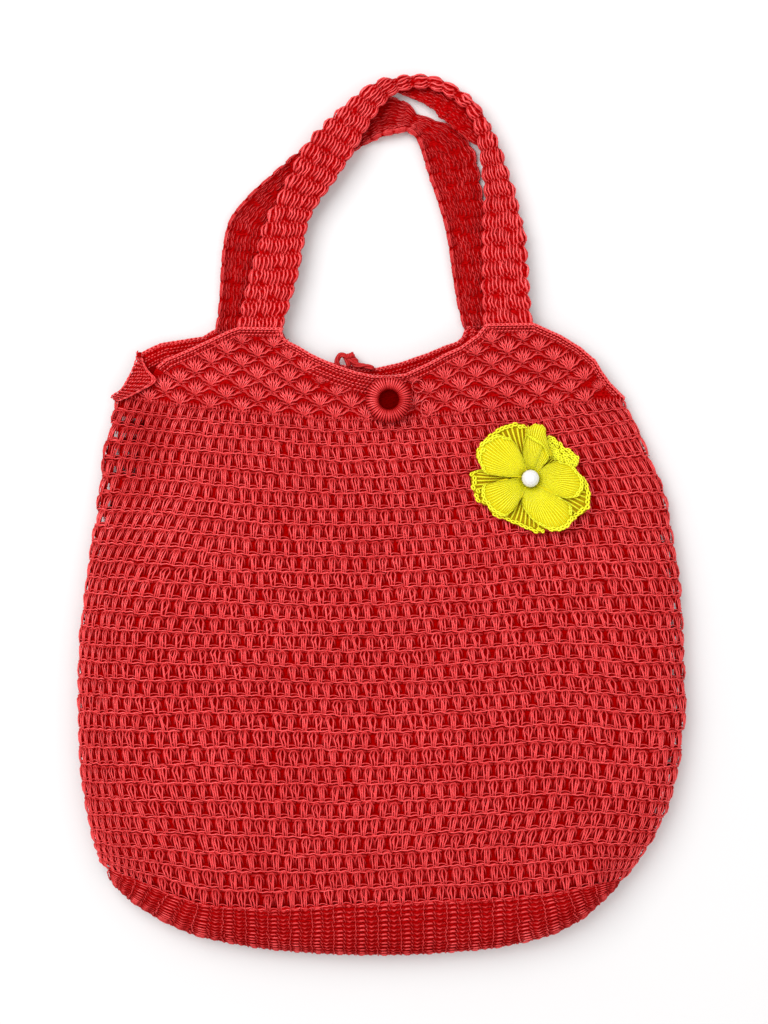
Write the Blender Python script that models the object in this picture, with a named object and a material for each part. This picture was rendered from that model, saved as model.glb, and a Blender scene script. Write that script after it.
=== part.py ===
"""Crocheted mesh handbag lying on its back.

A net body worked as a tube, a ribbed base strip, two shell-stitch yokes, the left end of the top folded
outwards, two strap handles, a thread-wrapped button with its loop, and a two-layer flower with a bead.
X runs to the right, Y towards the handles, Z up from the surface that the bag lies on.
"""

import bmesh
import bpy
import numpy as np

MM = 0.001

# Sizes in millimetres.
GAP = 0.35
SEAM_GAP = 0.85
BACK_SEAM_GAP = 1.0
BODY_WALL = 2.6
BODY_ROWS = 29
BODY_ROW_RELIEF = 0.7
FRONT_COLUMNS = 36
BACK_COLUMNS = 12
INNER_ROWS = 8
SIDE_ROUNDING = 5.0
BACK_CURL = 0.075
BASE_WALL = 3.0
BASE_RIBS = 58
BASE_RIB_RELIEF = 0.8
BASE_EDGE_DEPTH = 9.0
YOKE_WALL = 2.8
SHELL_PITCH = 17.0
SHELL_ROW = 9.5
SHELL_RELIEF = 0.7
RIM_RELIEF = 0.6
FLAP_WALL = 2.8
STRAP_WALL = 4.2
STRAP_BANDS = 43
BAND_RELIEF = 0.45
FOLD_RADIUS = 2.7
CURL_RADIUS = 7.0
BUTTON_X, BUTTON_Y = 4.4, 66.2
BUTTON_SINK = 0.25
BUTTON_SPOKES = 14
SPOKE_RELIEF = 0.3
FLOWER_X, FLOWER_Y = 84.0, 20.1
BEAD_RADIUS = 5.0
LOOP_CORD = 2.8

# The bag's plan outline with its height at the middle and at the side fold.
SECTIONS = (
    # y, left, right, crown, seam
    (112.0, -148.0, 112.0, 13.3, 5.6),
    (97.0, -151.0, 131.0, 13.8, 5.8),
    (84.0, -152.5, 138.0, 14.6, 6.0),
    (72.0, -153.5, 138.6, 15.6, 6.5),
    (62.7, -154.1, 140.9, 16.6, 7.0),
    (54.0, -156.4, 145.5, 17.5, 7.4),
    (36.8, -160.4, 153.0, 19.2, 8.0),
    (19.5, -162.2, 160.4, 20.8, 8.6),
    (-15.0, -167.3, 167.9, 23.6, 9.6),
    (-49.5, -171.9, 172.5, 26.0, 10.4),
    (-84.0, -174.8, 173.7, 28.0, 11.0),
    (-110.0, -174.8, 174.8, 29.2, 11.2),
    (-144.3, -173.6, 170.8, 30.0, 11.2),
    (-170.2, -170.2, 163.9, 30.0, 11.0),
    (-187.5, -166.2, 155.3, 29.4, 10.6),
    (-204.7, -159.3, 143.8, 28.4, 10.0),
    (-213.3, -153.5, 136.3, 27.6, 9.6),
    (-225.0, -141.0, 124.0, 26.4, 9.0),
)

# Where the net ends below the yokes and above the base, across the bag from its left to its right side.
NET_TOP = (
    # across, y
    (0.0, 68.5),
    (0.03, 71.0),
    (0.07, 72.2),
    (0.10, 71.0),
    (0.15, 65.3),
    (0.19, 60.9),
    (0.25, 57.2),
    (0.38, 55.2),
    (0.54, 55.2),
    (0.65, 58.1),
    (0.82, 62.1),
    (1.0, 66.7),
)
NET_BOTTOM = (
    # across, y
    (0.0, -203.6),
    (0.027, -208.2),
    (0.095, -216.2),
    (0.135, -221.0),
    (0.251, -223.7),
    (0.485, -221.4),
    (0.628, -219.7),
    (0.782, -217.9),
    (0.879, -215.1),
    (0.924, -212.8),
    (0.975, -210.5),
    (1.0, -209.3),
)
BASE_OUTLINE = (
    # x, y
    (-158.0, -207.0),
    (-153.5, -213.3),
    (-144.3, -222.0),
    (-131.7, -230.6),
    (-115.0, -239.2),
    (-81.1, -247.8),
    (-40.0, -252.3),
    (-1.2, -253.6),
    (38.0, -252.0),
    (74.2, -247.8),
    (103.5, -239.2),
    (117.9, -230.6),
    (127.1, -222.0),
    (136.3, -213.3),
    (138.2, -211.6),
)
FRONT_RIM = (
    # x, y
    (-129.5, 84.8),
    (-124.2, 89.1),
    (-111.6, 94.3),
    (-98.9, 100.1),
    (-87.4, 105.6),
    (-82.0, 107.4),
    (-57.5, 107.0),
    (-47.2, 98.9),
    (-35.7, 89.4),
    (-25.3, 85.1),
    (-15.0, 81.7),
    (-4.6, 79.4),
    (5.2, 79.4),
    (13.2, 80.5),
    (25.9, 86.3),
    (36.2, 92.0),
    (44.9, 96.0),
    (54.5, 103.0),
    (59.5, 109.3),
    (87.0, 109.8),
    (102.4, 103.0),
    (113.9, 97.2),
    (125.4, 85.7),
    (133.4, 76.5),
    (137.4, 71.0),
)
BACK_RIM = (
    # x, y
    (-139.6, 92.2),
    (-134.6, 94.9),
    (-127.1, 98.3),
    (-116.7, 100.1),
    (-103.5, 102.4),
    (-96.6, 106.6),
    (-69.0, 107.2),
    (-56.9, 105.2),
    (-47.2, 101.0),
    (-35.7, 94.6),
    (-24.2, 88.8),
    (-13.2, 85.1),
    (-2.9, 84.3),
    (10.4, 87.8),
    (25.9, 93.7),
    (38.5, 98.3),
    (46.6, 109.6),
    (73.0, 110.0),
    (86.5, 108.4),
    (101.6, 102.2),
    (113.0, 96.2),
    (124.6, 84.9),
    (132.6, 75.7),
    (136.6, 70.4),
)

# Soft hollows and swells of the front as it lies: a line, its half width and its rise.
FOLDS = (
    # x0, y0, x1, y1, half width, rise
    (-139.0, 66.0, -143.0, 20.0, 17.0, -5.2),
    (-133.0, 40.0, -152.0, -40.0, 12.0, -3.4),
    (-104.0, 35.0, -128.0, -60.0, 20.0, 1.8),
    (-60.0, 60.0, -45.0, -20.0, 26.0, 0.9),
    (20.0, 30.0, 40.0, -70.0, 24.0, -1.0),
    (90.0, -10.0, 118.0, -120.0, 22.0, 1.0),
    (135.0, 20.0, 142.0, -60.0, 16.0, -1.4),
    (-90.0, -140.0, 60.0, -165.0, 26.0, 0.9),
)

FLAP = (
    # left x, left y, left z, right x, right y, right z
    (-140.2, 93.2, 12.2, -130.1, 85.4, 12.0),
    (-142.0, 89.7, 13.0, -130.1, 80.5, 14.4),
    (-144.9, 82.8, 13.8, -130.1, 76.4, 16.2),
    (-147.4, 78.0, 13.8, -133.6, 73.6, 16.4),
    (-150.7, 72.5, 13.3, -139.4, 70.5, 15.6),
    (-155.0, 68.2, 12.6, -146.8, 66.7, 14.0),
    (-155.6, 66.4, 12.3, -153.0, 64.9, 12.6),
)

# Strap edges as seen from above. The front strap's surplus width folds under at its outer edge.
FRONT_STRAP = (
    # outer x, outer y, inner x, inner y, top z, strap width
    (-84.2, 107.9, -56.9, 107.5, 13.8, 27.4),
    (-81.5, 123.0, -52.2, 122.6, 13.8, 29.0),
    (-78.2, 138.0, -47.9, 137.6, 13.8, 29.6),
    (-71.9, 155.8, -44.3, 157.0, 13.8, 28.0),
    (-67.3, 168.5, -42.0, 167.5, 13.6, 28.0),
    (-59.6, 183.0, -36.8, 177.8, 13.6, 28.0),
    (-52.8, 197.0, -29.4, 187.6, 13.8, 28.0),
    (-45.6, 211.5, -21.8, 199.0, 14.0, 28.0),
    (-36.0, 222.4, -15.0, 209.2, 14.0, 28.0),
    (-27.6, 230.6, -9.6, 219.0, 13.8, 27.0),
    (-20.7, 236.9, -4.8, 227.0, 13.4, 26.0),
    (-12.0, 244.4, 0.6, 234.4, 12.8, 24.0),
    (-1.4, 250.4, 6.6, 240.4, 12.6, 21.0),
    (10.3, 252.6, 13.2, 243.4, 11.8, 20.0),
    (24.7, 253.4, 25.4, 244.6, 11.8, 22.5),
    (36.2, 250.4, 33.6, 242.0, 12.8, 26.0),
    (45.6, 244.7, 40.4, 238.0, 13.8, 28.0),
    (53.7, 238.2, 46.6, 233.0, 14.2, 28.0),
    (59.6, 229.8, 51.2, 226.2, 14.2, 26.5),
    (65.0, 219.4, 54.2, 215.4, 14.0, 23.0),
    (69.4, 208.3, 56.0, 205.6, 13.8, 21.5),
    (73.2, 196.3, 57.4, 193.6, 13.6, 22.5),
    (76.5, 186.9, 58.4, 185.6, 13.6, 24.5),
    (79.2, 176.0, 58.0, 175.4, 13.6, 26.5),
    (82.8, 160.4, 57.5, 160.4, 13.6, 27.5),
    (84.7, 144.3, 57.5, 144.3, 13.6, 28.0),
    (86.4, 129.4, 57.5, 129.2, 13.6, 28.8),
    (88.0, 110.3, 58.3, 110.1, 13.8, 29.8),
)
BACK_STRAP = (
    # outer x, outer y, inner x, inner y, outer curl, inner curl
    (-95.6, 107.9, -68.4, 107.6, 0.35, 0.10),
    (-93.9, 121.0, -67.3, 120.6, 0.80, 0.12),
    (-92.6, 137.0, -66.1, 134.8, 0.95, 0.12),
    (-91.2, 155.0, -64.4, 150.6, 0.95, 0.12),
    (-87.8, 169.2, -62.1, 161.4, 1.00, 0.15),
    (-77.6, 182.8, -53.9, 172.8, 0.95, 0.20),
    (-63.6, 196.1, -41.6, 184.2, 0.70, 0.20),
    (-48.8, 209.4, -27.6, 195.0, 0.25, 0.15),
    (-33.3, 221.9, -15.4, 205.4, 0.10, 0.12),
    (-17.6, 231.6, -7.4, 212.4, 0.10, 0.55),
    (-3.6, 236.4, -0.4, 216.6, 0.10, 1.10),
    (8.6, 236.6, 6.4, 217.8, 0.15, 1.20),
    (19.6, 232.8, 13.4, 216.8, 0.20, 1.20),
    (31.0, 225.6, 18.8, 213.2, 0.15, 1.15),
    (41.0, 216.2, 22.8, 207.2, 0.12, 1.05),
    (48.3, 206.6, 25.6, 200.6, 0.10, 1.00),
    (53.2, 196.6, 28.4, 193.2, 0.10, 0.95),
    (56.9, 186.0, 31.6, 184.0, 0.10, 0.95),
    (60.6, 173.4, 35.1, 172.8, 0.10, 0.95),
    (64.4, 158.7, 38.5, 158.6, 0.10, 0.95),
    (67.6, 140.9, 40.9, 140.9, 0.10, 0.90),
    (70.0, 125.9, 43.2, 125.9, 0.10, 0.75),
    (72.6, 110.4, 46.6, 110.3, 0.10, 0.35),
)

BUTTON_PROFILE = (
    # radius, height
    (3.6, 3.2),
    (5.4, 4.2),
    (6.6, 6.6),
    (8.8, 8.2),
    (11.2, 7.6),
    (12.9, 5.6),
    (13.3, 3.4),
    (12.2, 1.0),
    (9.0, 0.0),
)
BUTTON_CENTRE_HEIGHT = 2.6

LOOP_PATH = (
    # x, y, z
    (-24.6, 86.6, 4.7),
    (-26.4, 90.4, 4.7),
    (-25.2, 93.6, 5.1),
    (-21.4, 93.4, 5.6),
    (-18.6, 91.4, 5.2),
    (-14.8, 92.2, 5.0),
    (-13.4, 89.2, 4.8),
    (-16.4, 86.4, 4.8),
    (-20.4, 85.6, 4.7),
)

RED_YARN = (0.52, 0.018, 0.027)
DARK_RED_YARN = (0.40, 0.012, 0.020)
YELLOW_YARN = (0.70, 0.56, 0.012)
WHITE_GLASS = (0.85, 0.84, 0.82)


def eased(at, keys, values):
    """Values between the keys along smooth cubics."""
    keys = np.asarray(keys, float)
    values = np.asarray(values, float)
    slopes = np.gradient(values, keys)
    at = np.clip(np.asarray(at, float), keys[0], keys[-1])
    i = np.clip(np.searchsorted(keys, at) - 1, 0, len(keys) - 2)
    span = keys[i + 1] - keys[i]
    t = (at - keys[i]) / span
    rise = values[i] * (1 + 2 * t) + slopes[i] * span * t
    fall = values[i + 1] * (3 - 2 * t) - slopes[i + 1] * span * (1 - t)
    return rise * (1 - t) ** 2 + fall * t**2


def column(table, index):
    return np.array([row[index] for row in table])


def smoothstep(t):
    t = np.clip(t, 0.0, 1.0)
    return t * t * (3 - 2 * t)


def section(y, index):
    """A column of SECTIONS at this y."""
    rising = SECTIONS[::-1]
    return eased(y, column(rising, 0), column(rising, index))


def across(x, y):
    """-1 at the bag's left side, 1 at its right side."""
    left, right = section(y, 1), section(y, 2)
    return np.clip((2 * x - left - right) / (right - left), -1.0, 1.0)


def folds(x, y):
    total = np.zeros(np.broadcast(x, y).shape)
    for x0, y0, x1, y1, half_width, rise in FOLDS:
        run = (x1 - x0) ** 2 + (y1 - y0) ** 2
        t = np.clip(((x - x0) * (x1 - x0) + (y - y0) * (y1 - y0)) / run, 0.0, 1.0)
        distance = np.hypot(x - x0 - t * (x1 - x0), y - y0 - t * (y1 - y0))
        total = total + rise * np.exp(-((distance / half_width) ** 2))
    return total


def front_height(x, y):
    round_off = np.sqrt(1 - np.abs(across(x, y)) ** SIDE_ROUNDING)
    seam = section(y, 4)
    return seam + (section(y, 3) - seam + folds(x, y)) * round_off


def back_height(x, y):
    t = np.clip((np.abs(across(x, y)) - 1 + BACK_CURL) / BACK_CURL, 0.0, 1.0)
    return section(y, 4) * (1 - np.sqrt(1 - t**2))


def corner_rise(x, y):
    """How far the back's upper left corner stands off the surface below."""
    return 6.2 * smoothstep((-92.0 - x) / 46.0) * smoothstep((y - 74.0) / 16.0)


def net_edge(share, table):
    return eased(share, column(table, 0), column(table, 1))


def normals(grid, closed, flush):
    """Unit normals of a grid of points, rows by columns, which may close on itself along the columns.

    Rows named in flush meet a neighbour, so their normals stay in the plane across the bag.
    """
    along_rows = np.gradient(grid, axis=0)
    for row in flush:
        along_rows[row] = (0.0, np.sign(along_rows[row, :, 1].mean()), 0.0)
    if closed:
        along_columns = np.roll(grid, -1, axis=1) - np.roll(grid, 1, axis=1)
    else:
        along_columns = np.gradient(grid, axis=1)
    n = np.cross(along_columns, along_rows)
    return n / np.maximum(np.linalg.norm(n, axis=2, keepdims=True), 1e-9)


def bridge(faces, first, second):
    """Triangles between two runs of points that start and end side by side."""
    i = j = 0
    m, n = len(first) - 1, len(second) - 1
    while i < m or j < n:
        if j == n or (i < m and (i + 1) * n <= (j + 1) * m):
            faces.append((first[i], first[i + 1], second[j]))
            i += 1
        else:
            faces.append((first[i], second[j + 1], second[j]))
            j += 1


def quads(faces, rows, columns, start, closed):
    for r in range(rows - 1):
        for c in range(columns if closed else columns - 1):
            d = (c + 1) % columns
            a = start + r * columns
            b = a + columns
            faces.append((a + c, a + d, b + d, b + c))


def runs(rows, columns, start, closed):
    """The border of a grid as runs of point numbers."""
    end = [0] if closed else []
    first = [start + c for c in list(range(columns)) + end]
    last = [start + (rows - 1) * columns + c for c in list(range(columns)) + end]
    if closed:
        return first, last
    left = [start + r * columns for r in range(rows)]
    return first, last, left, [p + columns - 1 for p in left]


def shell(outer, inner, closed=False):
    """Points and faces of a sheet between two grids, which may differ in their counts."""
    count = outer.shape[0] * outer.shape[1]
    faces = []
    quads(faces, outer.shape[0], outer.shape[1], 0, closed)
    quads(faces, inner.shape[0], inner.shape[1], count, closed)
    pairs = zip(runs(*outer.shape[:2], 0, closed), runs(*inner.shape[:2], count, closed))
    for first, second in pairs:
        bridge(faces, first, second)
    return np.vstack([outer.reshape(-1, 3), inner.reshape(-1, 3)]), faces


def tube(rings, capped=True):
    """Points and faces of rings of points joined one to the next, with flat ends or closed on itself."""
    count, size = len(rings), len(rings[0])
    points = np.vstack(rings)
    faces = []
    for k in range(count - 1 if capped else count):
        a, b = k * size, ((k + 1) % count) * size
        for c in range(size):
            d = (c + 1) % size
            faces.append((a + c, a + d, b + d, b + c))
    if capped:
        for start in (0, (count - 1) * size):
            half = size // 2
            for c in range(half - 1):
                far = size - 1 - c
                faces.append((start + c, start + c + 1, start + far - 1, start + far))
    return points, faces


def yarn(name, colour, roughness):
    material = bpy.data.materials.new(name)
    material.use_nodes = True
    shader = material.node_tree.nodes["Principled BSDF"]
    shader.inputs["Base Color"].default_value = (*colour, 1.0)
    shader.inputs["Roughness"].default_value = roughness
    shader.inputs["Metallic"].default_value = 0.0
    material.diffuse_color = (*colour, 1.0)
    return material


def solid(name, shape, colour, roughness=0.45):
    points, faces = shape
    mesh = bpy.data.meshes.new(name)
    mesh.from_pydata([tuple(p) for p in np.asarray(points) * MM], [], faces)
    obj = bpy.data.objects.new(name, mesh)
    bpy.context.scene.collection.objects.link(obj)
    bm = bmesh.new()
    bm.from_mesh(mesh)
    bmesh.ops.recalc_face_normals(bm, faces=bm.faces)
    if bm.calc_volume(signed=True) < 0:
        bmesh.ops.reverse_faces(bm, faces=bm.faces)
    bm.to_mesh(mesh)
    bm.free()
    mesh.shade_smooth()
    mesh.materials.append(yarn(name, colour, roughness))
    return obj


def even_columns(count, height):
    """Positions from -1 to 1 that lie evenly along the front, or along the back, of a middle section."""
    u = np.linspace(-1, 1, 4001)
    line = np.stack([160.0 * u, height(u)], axis=1)
    length = np.concatenate([[0], np.cumsum(np.linalg.norm(np.diff(line, axis=0), axis=1))])
    return np.interp(np.linspace(0, length[-1], count + 1), length, u)


def body_grid(rows, front_columns, back_columns):
    """The body's outer surface, from its top down, each row once round from the left side."""
    front = even_columns(front_columns, lambda u: 17.0 * np.sqrt(1 - np.abs(u) ** SIDE_ROUNDING))
    curl = lambda u: np.clip((np.abs(u) - 1 + BACK_CURL) / BACK_CURL, 0, 1)
    back = even_columns(back_columns, lambda u: 10.0 * np.sqrt(1 - curl(u) ** 2))
    u = np.concatenate([front, back[-2:0:-1]])
    is_front = np.arange(len(u)) <= front_columns
    share = (u + 1) / 2
    v = np.linspace(0, 1, rows)[:, None]
    y = net_edge(share, NET_TOP) * (1 - v) + net_edge(share, NET_BOTTOM) * v
    left, right = section(y, 1), section(y, 2)
    x = left + (right - left) * share
    z = np.where(is_front, front_height(x, y), back_height(x, y))
    return np.stack([x, y, z], axis=2)


def net_border(row, front):
    """The net's first or last row on one side of the bag, as x and y from left to right."""
    ring = body_grid(2 * BODY_ROWS + 1, FRONT_COLUMNS, BACK_COLUMNS)[row]
    line = ring[: FRONT_COLUMNS + 1] if front else np.vstack([ring[FRONT_COLUMNS:], ring[:1]])[::-1]
    return line[:, 0], line[:, 1]


def lifted(grid, lift, closed=False, sign=1.0, flush=()):
    """The grid moved into the cloth by this much."""
    return grid + normals(grid, closed, flush) * (sign * lift)


def net_body():
    outer = body_grid(2 * BODY_ROWS + 1, FRONT_COLUMNS, BACK_COLUMNS)
    valley = (np.arange(len(outer)) % 2 == 0)[:, None, None] * BODY_ROW_RELIEF
    inner = body_grid(INNER_ROWS, FRONT_COLUMNS, BACK_COLUMNS)
    return shell(
        lifted(outer, valley, True, flush=(0, -1)),
        lifted(inner, BODY_WALL, True, flush=(0, -1)),
        True,
    )


def base_grid(columns, profile):
    """The base strip's outer surface over the front, round the bottom edge and back under the bag."""
    share = np.linspace(0.012, 0.988, columns)
    y_net = net_edge(share, NET_BOTTOM)
    left, right = section(y_net, 1), section(y_net, 2)
    x_top = left + (right - left) * share
    run = np.hypot(np.diff(column(BASE_OUTLINE, 0)), np.diff(column(BASE_OUTLINE, 1)))
    at = np.concatenate([[0], np.cumsum(run)]) / run.sum()
    x_edge = eased(share, at, column(BASE_OUTLINE, 0))
    y_edge = eased(share, at, column(BASE_OUTLINE, 1))
    high = front_height(x_top, y_net)
    low = section(y_net, 4) - 1.2
    curl = np.minimum(1.0, BASE_EDGE_DEPTH / np.hypot(x_edge - x_top, y_edge - y_net))
    rows = []
    for w in profile:
        down = abs(w)
        y_top = np.interp(x_top, *net_border(-1, w >= 0)) - SEAM_GAP
        x = x_top + (x_edge - x_top) * down
        y = y_top + (y_edge - y_top) * down
        if w >= 0:
            z = low + (high - low) * np.sqrt(1 - down**2.3)
        else:
            t = np.clip((down - 1 + curl) / curl, 0, 1)
            z = low * (1 - np.sqrt(1 - t**2))
        rows.append(np.stack([x, y, z], axis=1))
    return np.array(rows)


def base_band():
    outer = base_grid(2 * BASE_RIBS + 1, (0.0, 0.4, 0.75, 1.0, -0.9, -0.72, -0.001))
    valley = (np.arange(2 * BASE_RIBS + 1) % 2 == 0)[None, :, None] * BASE_RIB_RELIEF
    inner = base_grid(BASE_RIBS // 2 + 1, (0.0, 0.5, 0.85, -0.86, -0.001))
    return shell(lifted(outer, valley, flush=(0, -1)), lifted(inner, BASE_WALL, flush=(0, -1)))


def yoke_grid(rim, columns, rows, height, front):
    """A yoke's outer face between its rim and the net's upper edge."""
    rim_x, rim_y = column(rim, 0), column(rim, 1)
    x = np.linspace(rim_x[0], rim_x[-1], columns)
    top_y = np.interp(x, rim_x, rim_y)
    low_y = np.interp(x, *net_border(0, front)) + (SEAM_GAP if front else BACK_SEAM_GAP)
    v = np.linspace(0, 1, rows)[:, None]
    y = top_y * (1 - v) + low_y * v
    x = x + 0 * v
    return np.stack([x, y, height(x, y)], axis=2)


def shells(grid):
    """The fans of the shell stitch, which stand in staggered rows below the rim."""
    below = grid[:1, :, 1] - grid[:, :, 1]
    row = np.floor(below / SHELL_ROW)
    along = np.abs(np.sin(np.pi * (grid[:, :, 0] / SHELL_PITCH + 0.5 * (row % 2))))
    down = np.abs(np.sin(np.pi * (below / SHELL_ROW)))
    return SHELL_RELIEF * (1 - along * down)[:, :, None]


def front_yoke():
    grid = yoke_grid(FRONT_RIM, 61, 9, front_height, True)
    relief = shells(grid)
    relief[0] = -RIM_RELIEF
    inner = yoke_grid(FRONT_RIM, 31, 4, front_height, True)
    return shell(lifted(grid, relief, flush=(-1,)), lifted(inner, YOKE_WALL, flush=(-1,)))


def under_height(x, y):
    """The back yoke's outer face, which lies on the surface below the bag."""
    return back_height(x, y) + corner_rise(x, y)


def back_yoke():
    outer = yoke_grid(BACK_RIM, 33, 4, under_height, False)
    inner = yoke_grid(BACK_RIM, 43, 5, under_height, False)
    return shell(outer, lifted(inner, YOKE_WALL, sign=-1.0, flush=(-1,)))


def side_flap():
    left = np.array([row[:3] for row in FLAP])
    right = np.array([row[3:] for row in FLAP])
    steps = np.linspace(0, 1, 6)[None, :, None]
    grid = left[:, None] * (1 - steps) + right[:, None] * steps
    grid[:, :, 2] += 1.2 * np.sin(np.pi * steps[:, :, 0])
    return shell(grid, lifted(grid, FLAP_WALL))


def strap_stations(table):
    """The strap's table at even steps of its middle line, two to a cross band."""
    rows = np.array(table)
    middle = (rows[:, 0:2] + rows[:, 2:4]) / 2
    at = np.concatenate([[0], np.cumsum(np.linalg.norm(np.diff(middle, axis=0), axis=1))])
    steps = np.linspace(0, at[-1], 2 * STRAP_BANDS + 1)
    return np.stack([eased(steps, at, rows[:, c]) for c in range(rows.shape[1])], axis=1)


def ribbon(line, wall):
    """A closed section of this wall thickness about a line of (across, up) points, its edges rounded off."""
    along = np.gradient(line, axis=0)
    along /= np.linalg.norm(along, axis=1, keepdims=True)
    side = np.stack([-along[:, 1], along[:, 0]], axis=1)
    half = np.full(len(line), wall / 2)
    half[[0, -1]] *= 0.62
    return np.vstack([line + side * half[:, None], (line - side * half[:, None])[::-1]])


def folded_line(width, strap):
    """The front strap across its width: flat, then turned under at its outer edge."""
    flat = width - STRAP_WALL / 2 - FOLD_RADIUS
    total = max(strap - STRAP_WALL / 2, flat + 0.8)
    turn = (total - flat) / FOLD_RADIUS
    lead = flat / max(3, round(flat / 6.0))
    marks = np.concatenate([np.linspace(0.6, flat - 0.3 * lead, 3), np.linspace(flat, total, 4)])
    line = []
    for a in marks:
        angle = np.clip((a - flat) / FOLD_RADIUS, 0, min(turn, np.pi))
        rest = max(0.0, a - flat - np.pi * FOLD_RADIUS)
        reach = min(a, flat) + FOLD_RADIUS * np.sin(angle) - rest
        line.append((reach, -FOLD_RADIUS * (1 - np.cos(angle))))
    return np.array(line)


def curled_line(width, outer_curl, inner_curl):
    """The back strap across its width: flat on the surface below, its edges curled up."""
    inner_reach = CURL_RADIUS * np.sin(inner_curl)
    outer_reach = CURL_RADIUS * np.sin(outer_curl)
    line = []
    for share in (1.0, 0.5):
        angle = inner_curl * share
        line.append((inner_reach - CURL_RADIUS * np.sin(angle), CURL_RADIUS * (1 - np.cos(angle))))
    for share in (0.0, 1.0):
        line.append((inner_reach + (width - inner_reach - outer_reach) * share, 0.0))
    for share in (0.5, 1.0):
        angle = outer_curl * share
        reach = width - outer_reach + CURL_RADIUS * np.sin(angle)
        line.append((reach, CURL_RADIUS * (1 - np.cos(angle))))
    return np.array(line)


def handle(table, front):
    rings = []
    for k, (ox, oy, ix, iy, e, f) in enumerate(strap_stations(table)):
        reach = np.array([ox - ix, oy - iy])
        width = np.linalg.norm(reach)
        reach = reach / width
        relief = BAND_RELIEF if k % 2 else 0.0
        wall = STRAP_WALL - 2 * (BAND_RELIEF - relief)
        line = folded_line(width, f) if front else curled_line(width, e, f)
        cut = ribbon(line, wall)
        level = e - STRAP_WALL / 2 if front else STRAP_WALL / 2
        ring = np.empty((len(cut), 3))
        ring[:, 0] = ix + reach[0] * cut[:, 0]
        ring[:, 1] = iy + reach[1] * cut[:, 0]
        ring[:, 2] = level + cut[:, 1]
        rings.append(ring)
    return tube(rings)


def button():
    """A ring wrapped in thread with a dished centre, its spokes raised in turn."""
    rings = []
    turns = np.linspace(0, 2 * np.pi, 2 * BUTTON_SPOKES, endpoint=False)
    relief = np.where(np.arange(len(turns)) % 2, SPOKE_RELIEF, 0.0)
    reach = max(row[0] for row in BUTTON_PROFILE)
    around = np.linspace(0, 2 * np.pi, 24)
    under = front_height(BUTTON_X + reach * np.cos(around), BUTTON_Y + reach * np.sin(around))
    base = under.max() - BUTTON_SINK
    for radius, height in BUTTON_PROFILE:
        r = radius + relief * (height > 4)
        z = base + height + relief * (height > 4)
        rings.append(np.stack([BUTTON_X + r * np.cos(turns), BUTTON_Y + r * np.sin(turns), z + 0 * turns], 1))
    points, faces = tube(rings, capped=True)
    faces = faces[: (len(rings) - 1) * len(turns)]
    points = np.vstack([points, [BUTTON_X, BUTTON_Y, base + BUTTON_CENTRE_HEIGHT], [BUTTON_X, BUTTON_Y, base]])
    size = len(turns)
    last = (len(rings) - 1) * size
    for c in range(size):
        d = (c + 1) % size
        faces.append((len(points) - 2, d, c))
        faces.append((len(points) - 1, last + c, last + d))
    return points, faces


def button_loop():
    path = np.array(LOOP_PATH)
    closed = np.vstack([path[-2:], path, path[:3]])
    keys = np.arange(-2, len(path) + 3)
    steps = np.linspace(0, len(path), 24, endpoint=False)
    line = np.stack([eased(steps, keys, closed[:, c]) for c in range(3)], axis=1)
    along = np.roll(line, -1, axis=0) - np.roll(line, 1, axis=0)
    along /= np.linalg.norm(along, axis=1, keepdims=True)
    side = np.cross(along, (0, 0, 1.0))
    side /= np.linalg.norm(side, axis=1, keepdims=True)
    up = np.cross(side, along)
    turns = np.linspace(0, 2 * np.pi, 6, endpoint=False)
    rings = [
        p + LOOP_CORD / 2 * (np.outer(np.cos(turns), s) + np.outer(np.sin(turns), t))
        for p, s, t in zip(line, side, up)
    ]
    return tube(rings, capped=False)


def polar_sheet(radius, height, wall, turns, shares, strands):
    """A round sheet about the flower's middle; radius and height are functions of the angle and the share."""
    angles = np.linspace(0, 2 * np.pi, turns, endpoint=False)
    raised = np.where(np.arange(turns) % 2, strands, 0.0)
    upper, lower = [], []
    for share in shares:
        r = radius(angles) * share
        x, y = FLOWER_X + r * np.cos(angles), FLOWER_Y + r * np.sin(angles)
        z = front_height(x, y) + height(angles, share)
        upper.append(np.stack([x, y, z + wall + raised * min(1.0, 2 * share)], axis=1))
        lower.append(np.stack([x, y, z], axis=1))
    points, faces = tube(upper + lower[::-1], capped=False)
    faces = faces[: (2 * len(shares) - 1) * turns]
    z = front_height(FLOWER_X, FLOWER_Y) + height(angles, 0.0).mean()
    points = np.vstack([points, [FLOWER_X, FLOWER_Y, z + wall], [FLOWER_X, FLOWER_Y, z]])
    last = (2 * len(shares) - 1) * turns
    for c in range(turns):
        d = (c + 1) % turns
        faces.append((len(points) - 2, d, c))
        faces.append((len(points) - 1, last + c, last + d))
    return points, faces


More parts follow.
